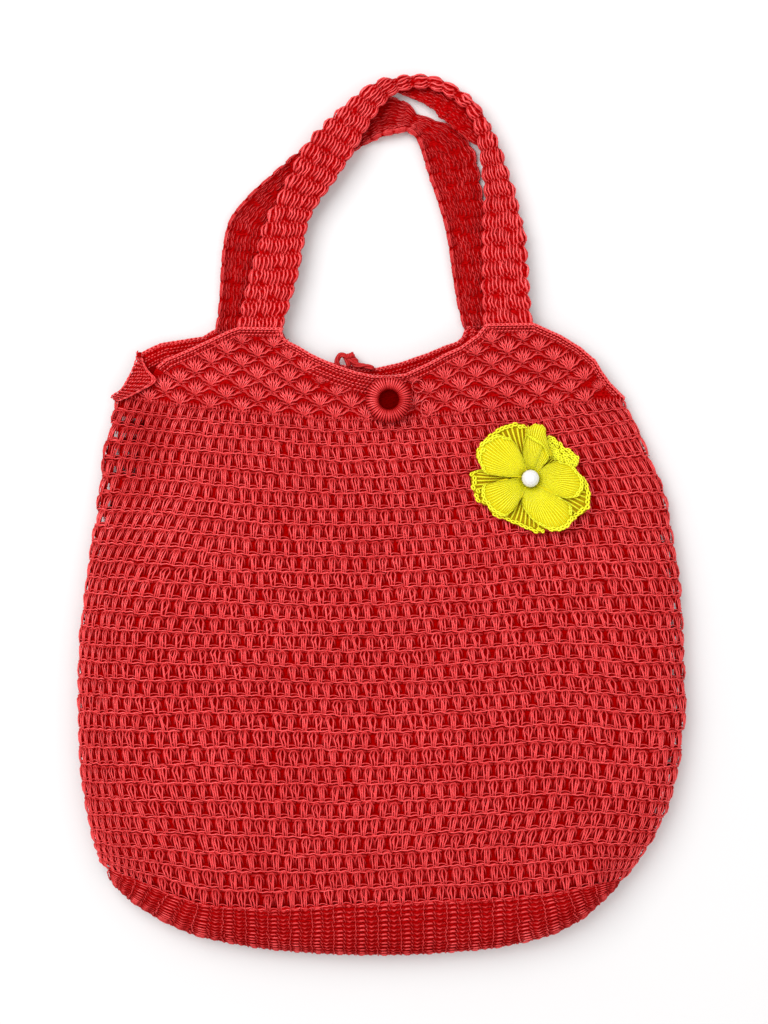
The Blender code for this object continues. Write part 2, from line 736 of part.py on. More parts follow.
FLOWER_BACK = (
    # angle in degrees, radius, ruffle height at the edge
    (0, 28.5, 3.0),
    (18, 30.5, 1.2),
    (36, 32.5, 5.5),
    (52, 33.0, 2.0),
    (66, 32.0, 6.0),
    (84, 29.5, 2.0),
    (104, 31.0, 1.0),
    (124, 31.5, 1.4),
    (146, 31.0, 2.2),
    (166, 32.5, 1.0),
    (186, 33.8, 0.8),
    (208, 32.0, 1.8),
    (230, 28.5, 0.8),
    (250, 30.5, 1.2),
    (272, 31.5, 0.8),
    (292, 32.5, 1.4),
    (312, 33.5, 0.8),
    (334, 31.5, 2.4),
    (360, 28.5, 3.0),
)
FLOWER_FRONT = (
    # angle in degrees, radius, rise of the petal's edge
    (0, 30.5, 1.5),
    (22, 28.0, 1.6),
    (42, 17.0, 0.8),
    (62, 29.0, 4.5),
    (82, 31.0, 3.5),
    (102, 28.0, 1.5),
    (116, 18.0, 0.6),
    (136, 28.5, 1.2),
    (156, 30.0, 1.4),
    (174, 27.5, 1.0),
    (189, 17.0, 0.6),
    (208, 28.0, 1.2),
    (230, 29.0, 1.4),
    (248, 26.5, 1.0),
    (260, 17.5, 0.6),
    (276, 27.0, 1.2),
    (298, 29.5, 1.6),
    (318, 26.5, 1.0),
    (330, 18.0, 0.6),
    (346, 28.5, 1.2),
    (360, 30.5, 1.5),
)
FLOWER_BACK_WALL = 2.0
FLOWER_FRONT_WALL = 2.2


def petals(table, level, swell):
    def radius(angles):
        return eased(np.degrees(angles), column(table, 0), column(table, 1))

    def height(angles, share):
        edge = eased(np.degrees(angles), column(table, 0), column(table, 2))
        return level + edge * share**3 + swell * np.sin(np.pi * min(1.0, share * 1.1)) ** 2

    return radius, height


def flower():
    radius, height = petals(FLOWER_BACK, GAP, 0.3)
    lower = polar_sheet(radius, height, FLOWER_BACK_WALL, 60, (0.25, 0.65, 1.0), 0.35)
    solid("flower_back", lower, YELLOW_YARN)
    level = FLOWER_BACK_WALL + 0.35 + GAP
    radius, height = petals(FLOWER_FRONT, level, 1.6)

    def above(angles, share):
        ruffle = eased(np.degrees(angles), column(FLOWER_BACK, 0), column(FLOWER_BACK, 2))
        return height(angles, share) + 0.85 * ruffle * share**3

    upper = polar_sheet(radius, above, FLOWER_FRONT_WALL, 72, (0.25, 0.5, 0.8, 1.0), 0.4)
    solid("flower_front", upper, YELLOW_YARN)
    bpy.ops.mesh.primitive_uv_sphere_add(segments=14, ring_count=8, radius=BEAD_RADIUS * MM)
    bead = bpy.context.object
    bead.name = "bead"
    middle = front_height(FLOWER_X, FLOWER_Y) + level + FLOWER_FRONT_WALL
    bead.location = (FLOWER_X * MM, FLOWER_Y * MM, (middle + GAP + 0.35 + BEAD_RADIUS * 0.8) * MM)
    bead.scale.z = 0.8
    bpy.ops.object.transform_apply(location=True, rotation=False, scale=True)
    bead.data.shade_smooth()
    bead.data.materials.append(yarn("bead", WHITE_GLASS, 0.25))


def main():
    for obj in list(bpy.data.objects):
        bpy.data.objects.remove(obj)
    solid("mesh_body", net_body(), RED_YARN)
    solid("base_band", base_band(), RED_YARN)
    solid("yoke_front", front_yoke(), RED_YARN)
    solid("yoke_back", back_yoke(), DARK_RED_YARN)
    solid("side_flap", side_flap(), RED_YARN)
    solid("handle_front", handle(FRONT_STRAP, True), RED_YARN)
    solid("handle_back", handle(BACK_STRAP, False), DARK_RED_YARN)
    solid("button", button(), RED_YARN)
    solid("button_loop", button_loop(), RED_YARN)
    flower()


main()
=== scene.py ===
"""Crocheted mesh handbag, dressed in its yarn stitch by stitch.

Every stitch is modelled once as a few closed strands and then laid along the bag's own surfaces. All shapes
are worked out in millimetres and scaled to metres when a mesh is made.
"""

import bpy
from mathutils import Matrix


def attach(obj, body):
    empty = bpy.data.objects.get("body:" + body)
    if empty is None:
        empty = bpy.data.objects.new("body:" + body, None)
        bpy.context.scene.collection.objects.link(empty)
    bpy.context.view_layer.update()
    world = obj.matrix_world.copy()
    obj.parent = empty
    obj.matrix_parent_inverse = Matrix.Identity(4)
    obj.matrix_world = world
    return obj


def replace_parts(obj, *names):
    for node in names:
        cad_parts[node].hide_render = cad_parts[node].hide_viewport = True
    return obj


bl_info = {
    "name": "Crocheted Mesh Handbag",
    "version": (1, 0, 0),
    "blender": (4, 5, 0),
    "location": "View3D > Sidebar > Handbag",
    "description": "Lays the yarn of a crocheted mesh handbag on its shape, stitch by stitch",
    "category": "Object",
}

import bpy
import numpy as np
from bpy.props import FloatProperty, FloatVectorProperty, IntProperty, PointerProperty

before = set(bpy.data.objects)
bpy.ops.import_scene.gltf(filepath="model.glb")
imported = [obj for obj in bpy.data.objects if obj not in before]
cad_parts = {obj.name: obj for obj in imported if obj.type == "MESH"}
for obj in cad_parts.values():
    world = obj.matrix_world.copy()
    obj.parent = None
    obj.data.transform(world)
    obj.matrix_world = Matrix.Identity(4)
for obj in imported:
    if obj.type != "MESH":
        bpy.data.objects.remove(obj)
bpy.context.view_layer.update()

MM = 0.001

# The bag's plan outline with its height at the middle and at the side fold.
SECTIONS = (
    # y, left, right, crown, seam
    (-225.0, -141.0, 124.0, 26.4, 9.0),
    (-213.3, -153.5, 136.3, 27.6, 9.6),
    (-204.7, -159.3, 143.8, 28.4, 10.0),
    (-187.5, -166.2, 155.3, 29.4, 10.6),
    (-170.2, -170.2, 163.9, 30.0, 11.0),
    (-144.3, -173.6, 170.8, 30.0, 11.2),
    (-110.0, -174.8, 174.8, 29.2, 11.2),
    (-84.0, -174.8, 173.7, 28.0, 11.0),
    (-49.5, -171.9, 172.5, 26.0, 10.4),
    (-15.0, -167.3, 167.9, 23.6, 9.6),
    (19.5, -162.2, 160.4, 20.8, 8.6),
    (36.8, -160.4, 153.0, 19.2, 8.0),
    (54.0, -156.4, 145.5, 17.5, 7.4),
    (62.7, -154.1, 140.9, 16.6, 7.0),
    (72.0, -153.5, 138.6, 15.6, 6.5),
    (84.0, -152.5, 138.0, 14.6, 6.0),
    (97.0, -151.0, 131.0, 13.8, 5.8),
    (112.0, -148.0, 112.0, 13.3, 5.6),
)

# How square the front's sides are, and the share of the half width over which the back curls up to them.
SIDE_ROUNDING = 5.0
BACK_CURL = 0.075

# A section through the back's middle: half its width, and the height of its side folds.
MIDDLE_HALF_WIDTH = 165.0
MIDDLE_SEAM = 10.0

# The back yoke's upper left corner stands off the surface below: how far, and from which place on.
CORNER_RISE = 6.2
CORNER_X, CORNER_Y = -92.0, 74.0
CORNER_WIDE, CORNER_HIGH = 46.0, 16.0

# Soft hollows and swells of the front as it lies.
FOLDS = (
    # x, y to x, y, half width, rise
    (-139.0, 66.0, -143.0, 20.0, 17.0, -5.2),
    (-133.0, 40.0, -152.0, -40.0, 12.0, -3.4),
    (-104.0, 35.0, -128.0, -60.0, 20.0, 1.8),
    (-60.0, 60.0, -45.0, -20.0, 26.0, 0.9),
    (20.0, 30.0, 40.0, -70.0, 24.0, -1.0),
    (90.0, -10.0, 118.0, -120.0, 22.0, 1.0),
    (135.0, 20.0, 142.0, -60.0, 16.0, -1.4),
    (-90.0, -140.0, 60.0, -165.0, 26.0, 0.9),
)

# Where the net ends below the yokes and above the base, across the bag from its left to its right side.
NET_TOP = (
    # across, y
    (0.0, 68.5),
    (0.03, 68.0),
    (0.07, 65.6),
    (0.12, 63.6),
    (0.20, 61.2),
    (0.28, 58.6),
    (0.38, 56.2),
    (0.54, 55.2),
    (0.65, 58.1),
    (0.82, 62.1),
    (1.0, 66.7),
)
NET_BOTTOM = (
    # across, y
    (0.0, -201.0),
    (0.027, -205.0),
    (0.066, -210.0),
    (0.095, -214.4),
    (0.135, -219.8),
    (0.251, -223.7),
    (0.485, -221.4),
    (0.628, -219.7),
    (0.782, -217.9),
    (0.879, -215.1),
    (0.924, -212.8),
    (0.975, -210.5),
    (1.0, -209.3),
)

NET_ROWS = 30

# Each row of the net starts this part of a column beside the row above.
ROW_DRIFT = -0.38

# Below this row the columns run straight down, but for those within this share of the width from a side.
STRAIGHT_ROW = 27
STRAIGHT_SHARE = 0.12

# Where chosen rows of the net run between its two edges, at shares of the bag's width.
ROW_SHARES = (0.0, 0.12, 0.25, 0.45, 0.65, 0.8, 0.92, 1.0)
ROW_GUIDES = (
    # row, y at each share
    (1, (61.7, 55.8, 52.3, 47.9, 50.7, 53.5, 58.1, 62.1)),
    (6, (13.2, 11.1, 6.6, 3.5, 5.7, 10.2, 12.0, 13.2)),
    (12, (-44.3, -46.9, -49.5, -50.6, -48.2, -45.4, -45.8, -46.0)),
    (19, (-112.1, -112.5, -111.6, -113.3, -111.4, -108.7, -112.3, -113.3)),
    (24, (-161.6, -161.6, -161.6, -162.1, -159.9, -158.0, -161.2, -164.4)),
    (27, (-188.0, -189.5, -191.5, -192.0, -189.0, -187.0, -186.7, -190.2)),
)

# How wide a column of the net's front lies, against the others, from its left to its right side.
COLUMN_WIDTHS = (
    # across, width
    (0.0, 0.47),
    (0.05, 0.68),
    (0.09, 0.98),
    (0.13, 1.12),
    (0.20, 1.09),
    (0.30, 1.03),
    (0.50, 1.02),
    (0.75, 1.02),
    (0.88, 1.08),
    (0.95, 0.95),
    (1.0, 0.55),
)

# The upper rows are pulled open at the left: the most that a column moves, the share of the width where it
# does, the row below which none moves, and the rows over which this fades.
STRETCH = 0.028
STRETCH_SHARE = 0.07
STRETCH_END = 12.0
STRETCH_FADE = 7.0

# The base's lower edge from left to right.
BASE_OUTLINE = (
    (-158.0, -207.0),
    (-153.5, -213.3),
    (-144.3, -222.0),
    (-131.7, -230.6),
    (-115.0, -239.2),
    (-81.1, -247.8),
    (-40.0, -252.3),
    (-1.2, -253.6),
    (38.0, -252.0),
    (74.2, -247.8),
    (103.5, -239.2),
    (117.9, -230.6),
    (127.1, -222.0),
    (136.3, -213.3),
    (138.2, -211.6),
)

# The rims of the two yokes from left to right, the point where both end, and the front yoke's upper edge
# on the shoulder, left of its rim.
FRONT_RIM = (
    (-129.5, 84.8),
    (-124.2, 89.1),
    (-111.6, 94.3),
    (-98.9, 100.1),
    (-87.4, 105.6),
    (-82.0, 107.4),
    (-57.5, 107.0),
    (-56.4, 101.4),
    (-52.9, 98.8),
    (-47.2, 96.0),
    (-41.0, 92.2),
    (-35.7, 89.6),
    (-25.3, 85.1),
    (-15.0, 81.7),
    (-4.6, 79.4),
    (5.2, 79.4),
    (13.2, 80.5),
    (25.9, 86.3),
    (36.2, 92.0),
    (44.9, 96.0),
    (54.5, 103.0),
    (59.5, 109.3),
    (87.0, 109.8),
    (102.4, 103.0),
    (113.9, 96.0),
    (122.8, 88.4),
    (126.4, 82.2),
    (131.2, 75.6),
    (136.0, 70.8),
)
BACK_RIM = (
    (-139.6, 92.2),
    (-134.6, 94.9),
    (-127.1, 98.3),
    (-116.7, 100.1),
    (-103.5, 102.4),
    (-96.6, 106.6),
    (-69.0, 106.0),
    (-56.9, 99.0),
    (-47.2, 95.0),
    (-35.7, 89.2),
    (-24.2, 86.2),
    (-13.2, 84.6),
    (-2.9, 84.3),
    (10.4, 87.4),
    (25.9, 92.6),
    (36.0, 97.0),
    (43.6, 99.6),
    (47.0, 102.5),
    (48.6, 109.0),
    (73.0, 110.0),
    (86.5, 108.4),
    (101.6, 102.2),
    (112.5, 95.5),
    (122.0, 87.6),
    (125.6, 81.4),
    (130.4, 74.8),
    (135.4, 69.8),
)
RIM_END = (140.0, 66.9)
SHOULDER = (
    (-154.0, 66.5),
    (-147.0, 70.0),
    (-139.0, 74.0),
    (-133.0, 78.5),
)

# The side flap from its top down, between its fold at the left and its free edge.
FLAP = (
    # left x, left y, left z, right x, right y, right z
    (-140.2, 93.2, 12.2, -138.9, 92.0, 12.0),
    (-141.0, 88.6, 12.2, -137.0, 86.5, 13.0),
    (-143.8, 81.6, 12.4, -133.8, 81.5, 13.7),
    (-146.3, 76.9, 12.0, -129.6, 76.4, 13.9),
    (-149.8, 71.6, 11.2, -139.4, 70.5, 12.2),
    (-155.0, 68.2, 9.9, -146.8, 66.7, 12.0),
    (-155.6, 66.4, 9.7, -153.0, 64.9, 10.8),
)

# The straps: their thickness, the width that their stitches are drawn for, how far a cross band stands out,
# how far the ends reach into the yokes, and how the edges turn, the front strap's under and the back strap's
# up.
STRAP_WALL = 4.2
STITCHED_WIDTH = 30.5
STRAP_BULGE = 0.55
STRAP_SEAM = 3.0
FOLD_RADIUS = 2.7
FOLD_RISE = 0.12
CURL_RADIUS = 7.0
FRONT_STRAP = (
    # outer x, outer y, inner x, inner y, top z, strap width
    (-84.2, 107.9, -56.9, 107.5, 13.8, 27.4),
    (-81.5, 123.0, -52.2, 122.6, 13.8, 29.0),
    (-78.2, 138.0, -47.9, 137.6, 13.8, 29.6),
    (-71.9, 155.8, -44.3, 157.0, 13.8, 28.0),
    (-67.3, 168.5, -42.0, 167.5, 13.6, 28.0),
    (-59.6, 183.0, -36.8, 177.8, 13.6, 28.0),
    (-52.8, 197.0, -29.4, 187.6, 13.8, 28.0),
    (-45.6, 211.5, -21.8, 199.0, 14.0, 28.0),
    (-36.0, 222.4, -15.0, 209.2, 14.0, 28.0),
    (-27.6, 230.6, -9.6, 219.0, 13.8, 27.0),
    (-20.7, 236.9, -4.8, 227.0, 13.4, 26.0),
    (-12.0, 244.4, 0.6, 234.4, 12.8, 24.0),
    (-1.4, 250.4, 6.6, 240.4, 12.6, 21.0),
    (10.3, 252.6, 13.2, 243.4, 11.8, 22.3),
    (24.7, 253.4, 25.4, 244.6, 11.8, 27.5),
    (36.2, 250.4, 33.6, 242.0, 12.8, 28.5),
    (45.6, 244.7, 40.4, 238.0, 13.8, 30.0),
    (53.7, 238.2, 46.6, 233.0, 14.2, 30.2),
    (59.6, 229.8, 51.2, 226.2, 14.2, 30.0),
    (65.0, 219.4, 54.2, 215.4, 14.0, 27.0),
    (69.4, 208.3, 56.0, 205.6, 13.8, 21.5),
    (73.2, 196.3, 57.4, 193.6, 13.6, 22.5),
    (76.5, 186.9, 58.4, 185.6, 13.6, 24.5),
    (79.2, 176.0, 58.0, 175.4, 13.6, 26.5),
    (82.8, 160.4, 57.5, 160.4, 13.6, 27.5),
    (84.7, 144.3, 57.5, 144.3, 13.6, 28.0),
    (86.4, 129.4, 57.5, 129.2, 13.6, 28.8),
    (88.0, 110.3, 58.3, 110.1, 13.8, 29.8),
)
BACK_STRAP = (
    # outer x, outer y, inner x, inner y, outer curl, inner curl
    (-95.6, 107.9, -68.4, 107.6, 0.35, 0.10),
    (-93.9, 121.0, -67.3, 120.6, 0.80, 0.12),
    (-92.6, 137.0, -66.1, 134.8, 0.95, 0.12),
    (-91.2, 155.0, -64.4, 150.6, 0.95, 0.12),
    (-87.8, 169.2, -62.1, 161.4, 1.00, 0.15),
    (-77.6, 182.8, -53.9, 172.8, 0.95, 0.20),
    (-63.6, 196.1, -41.6, 184.2, 0.70, 0.20),
    (-48.8, 209.4, -27.6, 195.0, 0.25, 0.15),
    (-33.3, 221.9, -17.0, 209.4, 0.10, 0.12),
    (-17.6, 231.6, -8.6, 214.6, 0.10, 0.55),
    (-3.6, 239.6, -0.8, 218.2, 0.10, 1.10),
    (10.6, 240.0, 6.8, 220.0, 0.15, 1.20),
    (22.4, 230.8, 15.6, 221.4, 0.20, 1.10),
    (33.0, 227.2, 20.8, 216.4, 0.15, 1.10),
    (44.5, 221.6, 23.6, 209.0, 0.12, 1.05),
    (52.6, 210.5, 26.0, 201.0, 0.10, 1.00),
    (55.8, 197.6, 28.4, 193.2, 0.10, 0.95),
    (57.4, 187.4, 31.6, 184.0, 0.10, 0.95),
    (60.6, 173.4, 35.1, 172.8, 0.10, 0.95),
    (64.4, 158.7, 38.5, 158.6, 0.10, 0.95),
    (67.6, 140.9, 40.9, 140.9, 0.10, 0.90),
    (70.0, 125.9, 43.2, 125.9, 0.10, 0.75),
    (72.6, 110.4, 46.6, 110.3, 0.10, 0.35),
)

# The button's loop as pieces of cord, and the loose loops of yarn beside the button.
LOOP_CORDS = (
    # x, y, z along each cord
    ((-25.4, 84.8, 4.6), (-25.9, 88.6, 4.8), (-24.4, 91.6, 5.2), (-21.6, 91.2, 5.4), (-19.9, 88.4, 5.2),
     (-19.2, 85.0, 4.8)),
    ((-20.6, 90.8, 6.2), (-18.6, 91.2, 6.2), (-16.4, 92.3, 6.0)),
    ((-19.6, 91.0, 5.4), (-17.6, 88.6, 5.6), (-15.6, 86.4, 5.4), (-12.4, 85.6, 5.2), (-8.8, 85.3, 5.0),
     (-5.0, 83.8, 4.8)),
    ((-17.4, 90.6, 4.6), (-15.4, 88.6, 4.8), (-14.6, 86.0, 4.8)),
)
LOOSE_YARN = (
    # x, y, half width, half height
    (20.6, 73.2, 3.5, 3.6),
    (25.2, 60.4, 2.9, 4.6),
)

# The button: its middle, its profile, how far it reaches and how deep it sinks into the yoke.
BUTTON_X, BUTTON_Y = 4.0, 65.2
BUTTON_PROFILE = (
    # radius, height over the yoke, how brightly the thread shows there, with painted shade towards the hole
    # and the outer edge
    (5.4, 2.4, 0.0),
    (6.1, 4.2, 0.0),
    (7.2, 6.6, 0.55),
    (9.2, 8.0, 1.0),
    (11.2, 7.6, 0.75),
    (12.9, 5.6, 0.15),
    (13.3, 3.4, 0.0),
    (12.2, 1.0, 0.0),
)
BUTTON_REACH = 13.3
BUTTON_SINK = 0.25
FLOWER_X, FLOWER_Y = 84.0, 20.1

# Each petal's edge as offsets from the flower's middle, from one side of its foot round to the other.
FRONT_PETALS = (
    # lift, edge offsets x, y
    (0.5, ((-2.6, 4.6), (-3.2, 12.1), (-6.3, 16.1), (-8.6, 20.7), (-12.6, 24.1), (-17.2, 25.3),
           (-22.1, 24.1), (-26.7, 20.7), (-29.3, 16.7), (-29.9, 12.6), (-28.7, 9.8), (-28.2, 6.0),
           (-25.3, 2.3), (-16.1, 1.1), (-5.0, 1.4))),
    (0.0, ((-5.2, 0.4), (-27.3, -3.2), (-28.2, -7.5), (-26.7, -11.5), (-24.1, -15.5), (-20.1, -20.1),
           (-14.9, -21.8), (-11.5, -20.1), (-8.9, -17.6), (-6.3, -14.0), (-5.8, -10.9), (-2.6, -4.6))),
    (0.6, ((-2.2, -4.8), (-5.2, -10.9), (-4.9, -14.9), (-3.2, -18.6), (0.6, -22.8), (4.6, -26.4),
           (10.3, -29.3), (15.3, -30.2), (20.0, -28.4), (23.6, -24.1), (24.6, -19.5), (22.4, -14.9),
           (19.0, -11.5), (12.1, -8.4), (3.4, -4.0))),
    (0.2, ((4.4, -2.8), (6.1, -4.3), (10.2, -6.9), (16.7, -10.9), (22.4, -11.5), (27.0, -10.9),
           (30.2, -7.5), (31.0, -2.9), (29.3, 1.7), (25.6, 6.0), (21.3, 8.6), (16.7, 9.8),
           (12.1, 10.1), (6.9, 6.0), (4.2, 3.0))),
    (0.0, ((3.4, 3.8), (11.7, 11.2), (10.2, 15.2), (7.1, 19.0), (8.6, 21.8), (9.2, 24.4), (9.2, 28.2),
           (6.9, 30.5), (3.4, 31.3), (0.6, 29.9), (-2.9, 24.7), (-2.3, 22.4), (-3.7, 19.8),
           (-4.2, 16.1), (-3.7, 12.1), (-2.3, 6.3), (-1.4, 4.6))),
)
BACK_PETALS = (
    (0.2, ((-1.6, 4.8), (0.0, 31.0), (-3.4, 31.6), (-11.5, 31.0), (-19.0, 28.2), (-25.3, 22.4),
           (-29.6, 17.4), (-32.0, 11.0), (-4.8, 1.6))),
    (0.0, ((-4.8, 1.8), (-33.3, 5.2), (-33.6, -1.7), (-32.2, -7.5), (-28.7, -13.2), (-25.3, -16.7),
           (-4.0, -3.4))),
    (0.2, ((-4.2, -3.2), (-25.3, -16.7), (-20.7, -20.7), (-13.2, -23.6), (-4.6, -27.6), (4.6, -31.0),
           (9.8, -31.0), (0.6, -5.2))),
    (0.0, ((1.6, -5.0), (16.1, -29.9), (25.3, -21.8), (32.8, -19.0), (34.5, -12.1), (33.9, -3.4),
           (29.9, 2.9), (5.2, 0.6))),
    (0.4, ((4.8, 1.4), (27.6, 6.3), (28.7, 9.8), (28.2, 13.8), (24.1, 15.5), (18.4, 17.2),
           (16.1, 22.4), (12.6, 25.9), (9.8, 24.7), (3.0, 4.8))),
)

# The top of the fifth petal lies folded forwards: where it folds, and its free edge.
LIP_FOLD = ((-2.6, 27.0), (-0.2, 29.9), (4.7, 31.5), (8.6, 29.3), (9.4, 23.3), (10.6, 18.0), (12.0, 12.5))
LIP_EDGE = ((-2.6, 26.0), (-0.2, 22.6), (4.7, 20.4), (7.2, 18.4), (9.1, 16.1), (10.9, 13.6), (12.2, 11.1))

# How far from the flower's middle the petals start, and how far their strands bow out.
PETAL_FOOT = 4.0
PETAL_BOW = 1.6


class YarnSizes(bpy.types.PropertyGroup):
    """Sizes of the yarn and of its stitches."""

    yarn: FloatProperty(
        name="Yarn", description="Thickness of the main yarn", default=0.00105, unit="LENGTH"
    )
    fine_yarn: FloatProperty(
        name="Fine yarn", description="Thickness of chain and edging strands", default=0.0008, unit="LENGTH"
    )
    front_columns: IntProperty(
        name="Front columns", description="Net stitches across the front", default=48
    )
    back_columns: IntProperty(
        name="Back columns", description="Net stitches across the back", default=48
    )
    shell_pitch: FloatProperty(
        name="Shell pitch", description="Distance between shells in a row", default=0.0179, unit="LENGTH"
    )
    shell_row: FloatProperty(
        name="Shell row", description="Distance between rows of shells", default=0.0064, unit="LENGTH"
    )
    rib_pitch: FloatProperty(
        name="Rib pitch", description="Distance between ribs of the base", default=0.0144, unit="LENGTH"
    )
    rib_row: FloatProperty(
        name="Rib row", description="Distance between rows of the base", default=0.0024, unit="LENGTH"
    )
    strap_band: FloatProperty(
        name="Strap band", description="Length of one cross band of a handle", default=0.0093, unit="LENGTH"
    )
    strap_strands: IntProperty(
        name="Strap strands", description="Strands across a handle", default=12
    )
    camera_height: FloatProperty(
        name="Camera height", description="Height of the camera over the floor", default=1.2, unit="LENGTH"
    )


class YarnColours(bpy.types.PropertyGroup):
    """Colours of the yarns, the bead and the floor."""

    bright_red: FloatVectorProperty(
        name="Bright red", description="Red yarn where it stands up",
        subtype="COLOR", default=(0.98, 0.066, 0.07),
    )
    # The red yarn in painted shade, mixed in where a strand lies deep in a stitch.
    painted_shade_red: FloatVectorProperty(
        name="Deep red", description="Red yarn deep in the stitches",
        subtype="COLOR", default=(0.34, 0.0, 0.0),
    )
    bright_yellow: FloatVectorProperty(
        name="Bright yellow", description="Yellow yarn where it stands up",
        subtype="COLOR", default=(1.0, 1.0, 0.03),
    )
    # The yellow yarn in painted shade, mixed in where a strand lies deep in a petal.
    painted_shade_yellow: FloatVectorProperty(
        name="Deep yellow", description="Yellow yarn deep in the petals",
        subtype="COLOR", default=(0.76, 0.58, 0.005),
    )
    shaded_red: FloatVectorProperty(
        name="Shaded red", description="Red at the bottom of the button's dish",
        subtype="COLOR", default=(0.075, 0.0, 0.0),
    )
    shaded_yellow: FloatVectorProperty(
        name="Shaded yellow", description="Yellow between the back petals",
        subtype="COLOR", default=(0.3, 0.14, 0.004),
    )
    bead: FloatVectorProperty(
        name="Bead", description="The white bead", subtype="COLOR", default=(0.9, 0.9, 0.89)
    )
    floor: FloatVectorProperty(
        name="Floor", description="The pale floor", subtype="COLOR", default=(0.86, 0.855, 0.86)
    )


def sizes():
    return bpy.context.scene.handbag_sizes


def colours():
    return bpy.context.scene.handbag_colours


def yarn_widths():
    """The widths of the main yarn and of the fine yarn in millimetres."""
    return sizes().yarn / MM, sizes().fine_yarn / MM


def eased(at, keys, values):
    """Values between the keys along smooth cubics."""
    keys = np.asarray(keys, float)
    values = np.asarray(values, float)
    slopes = np.gradient(values, keys, axis=0)
    at = np.clip(np.asarray(at, float), keys[0], keys[-1])
    i = np.clip(np.searchsorted(keys, at) - 1, 0, len(keys) - 2)
    span = keys[i + 1] - keys[i]
    t = (at - keys[i]) / span
    if values.ndim > 1:
        t, span = t[..., None], span[..., None]
    rise = values[i] * (1 + 2 * t) + slopes[i] * span * t
    fall = values[i + 1] * (3 - 2 * t) - slopes[i + 1] * span * (1 - t)
    return rise * (1 - t) ** 2 + fall * t**2


def unit(vectors):
    """The vectors at a length of one."""
    return vectors / np.maximum(np.linalg.norm(vectors, axis=-1, keepdims=True), 1e-9)


def lengths_along(line):
    """How far along a line each of its points lies."""
    return np.concatenate([[0], np.cumsum(np.linalg.norm(np.diff(line, axis=0), axis=1))])


def points_at(at, keys, line):
    """Points at these lengths along a line of straight pieces."""
    return np.stack([np.interp(at, keys, values) for values in line.T], axis=1)


def smoothstep(t):
    t = np.clip(t, 0.0, 1.0)
    return t * t * (3 - 2 * t)


def section(y, index):
    """A column of SECTIONS at this y."""
    table = np.array(SECTIONS)
    return eased(y, table[:, 0], table[:, index])


def across_bag(x, y):
    """How far across the bag x lies at this y, from -1 at its left side to 1 at its right."""
    left, right = section(y, 1), section(y, 2)
    return np.clip((2 * x - left - right) / (right - left), -1.0, 1.0)


def front_height(x, y):
    """Height of the front: an arch between the side folds, with its hollows and swells."""
    swell = np.zeros(np.broadcast(x, y).shape)
    for x0, y0, x1, y1, half_width, rise in FOLDS:
        run_x, run_y = x1 - x0, y1 - y0
        t = np.clip(((x - x0) * run_x + (y - y0) * run_y) / (run_x**2 + run_y**2), 0.0, 1.0)
        distance = np.hypot(x - x0 - t * run_x, y - y0 - t * run_y)
        swell = swell + rise * np.exp(-((distance / half_width) ** 2))
    seam = section(y, 4)
    return seam + (section(y, 3) - seam + swell) * np.sqrt(1 - np.abs(across_bag(x, y)) ** SIDE_ROUNDING)


def back_height(x, y):
    """Height of the back, which lies flat and curls up to the side folds."""
    t = np.clip((np.abs(across_bag(x, y)) - 1 + BACK_CURL) / BACK_CURL, 0.0, 1.0)
    return section(y, 4) * (1 - np.sqrt(1 - t**2))


def under_height(x, y):
    """The back yoke's outer face, whose upper left corner stands off the surface below."""
    left, upper = smoothstep((CORNER_X - x) / CORNER_WIDE), smoothstep((y - CORNER_Y) / CORNER_HIGH)
    return back_height(x, y) + CORNER_RISE * left * upper


def rim_height(rim, x):
    """y of a rim at this x."""
    table = np.array(rim)
    return np.interp(x, table[:, 0], table[:, 1])


def row_line(row, share, front):
    """y of the net's rows at a share of the bag's width.

    The back's rows run straight between the side folds.
    """
    keys, lines = [], []
    guides = [(number, ROW_SHARES, line) for number, line in ROW_GUIDES]
    for number, shares, line in ((0, *np.array(NET_TOP).T), *guides):
        keys.append(number)
        lines.append(eased(share, shares, line) if front else line[0] * (1 - share) + line[-1] * share)
    keys.append(NET_ROWS)
    lines.append(eased(share, *np.array(NET_BOTTOM).T))
    return eased(row, keys, np.stack(lines))


class Cloth:
    """A surface that stitches are laid on: a grid of points, rows going down, and its outward directions.

    What faces down is drawn in by up to `sink` millimetres, so that the yarn rests on the floor, not in it.
    """

    def __init__(self, points, columns, rows, closed=False, sink=1.1):
        self.points = points
        self.closed = closed
        self.sink = sink
        self.columns = points.shape[1]
        self.last_row = points.shape[0] - 1
        steps = self.columns if closed else self.columns - 1
        self.scale = steps / columns, self.last_row / rows
        if closed:
            along = np.roll(points, -1, axis=1) - np.roll(points, 1, axis=1)
        else:
            along = np.gradient(points, axis=1)
        self.out = unit(np.cross(np.gradient(points, axis=0), along))

    def drawn_in(self, out):
        """How far a place with this outward direction is drawn in."""
        return self.sink * np.clip(-out[..., 2:], 0.0, 1.0)

    def place(self, across, up, lift):
        """Points at this lift over places that are counted in stitches across and in rows up."""
        c, r = across * self.scale[0], -up * self.scale[1]
        i = np.clip(np.floor(r).astype(int), 0, self.last_row - 1)
        j = np.floor(c).astype(int)
        if not self.closed:
            j = np.clip(j, 0, self.columns - 2)
        s, t = (c - j)[..., None], (r - i)[..., None]
        j0, j1 = j % self.columns, (j + 1) % self.columns

        def between(grid):
            upper = grid[i, j0] * (1 - s) + grid[i, j1] * s
            lower = grid[i + 1, j0] * (1 - s) + grid[i + 1, j1] * s
            return upper * (1 - t) + lower * t

        out = unit(between(self.out))
        return between(self.points) + out * (lift[..., None] - self.drawn_in(out))


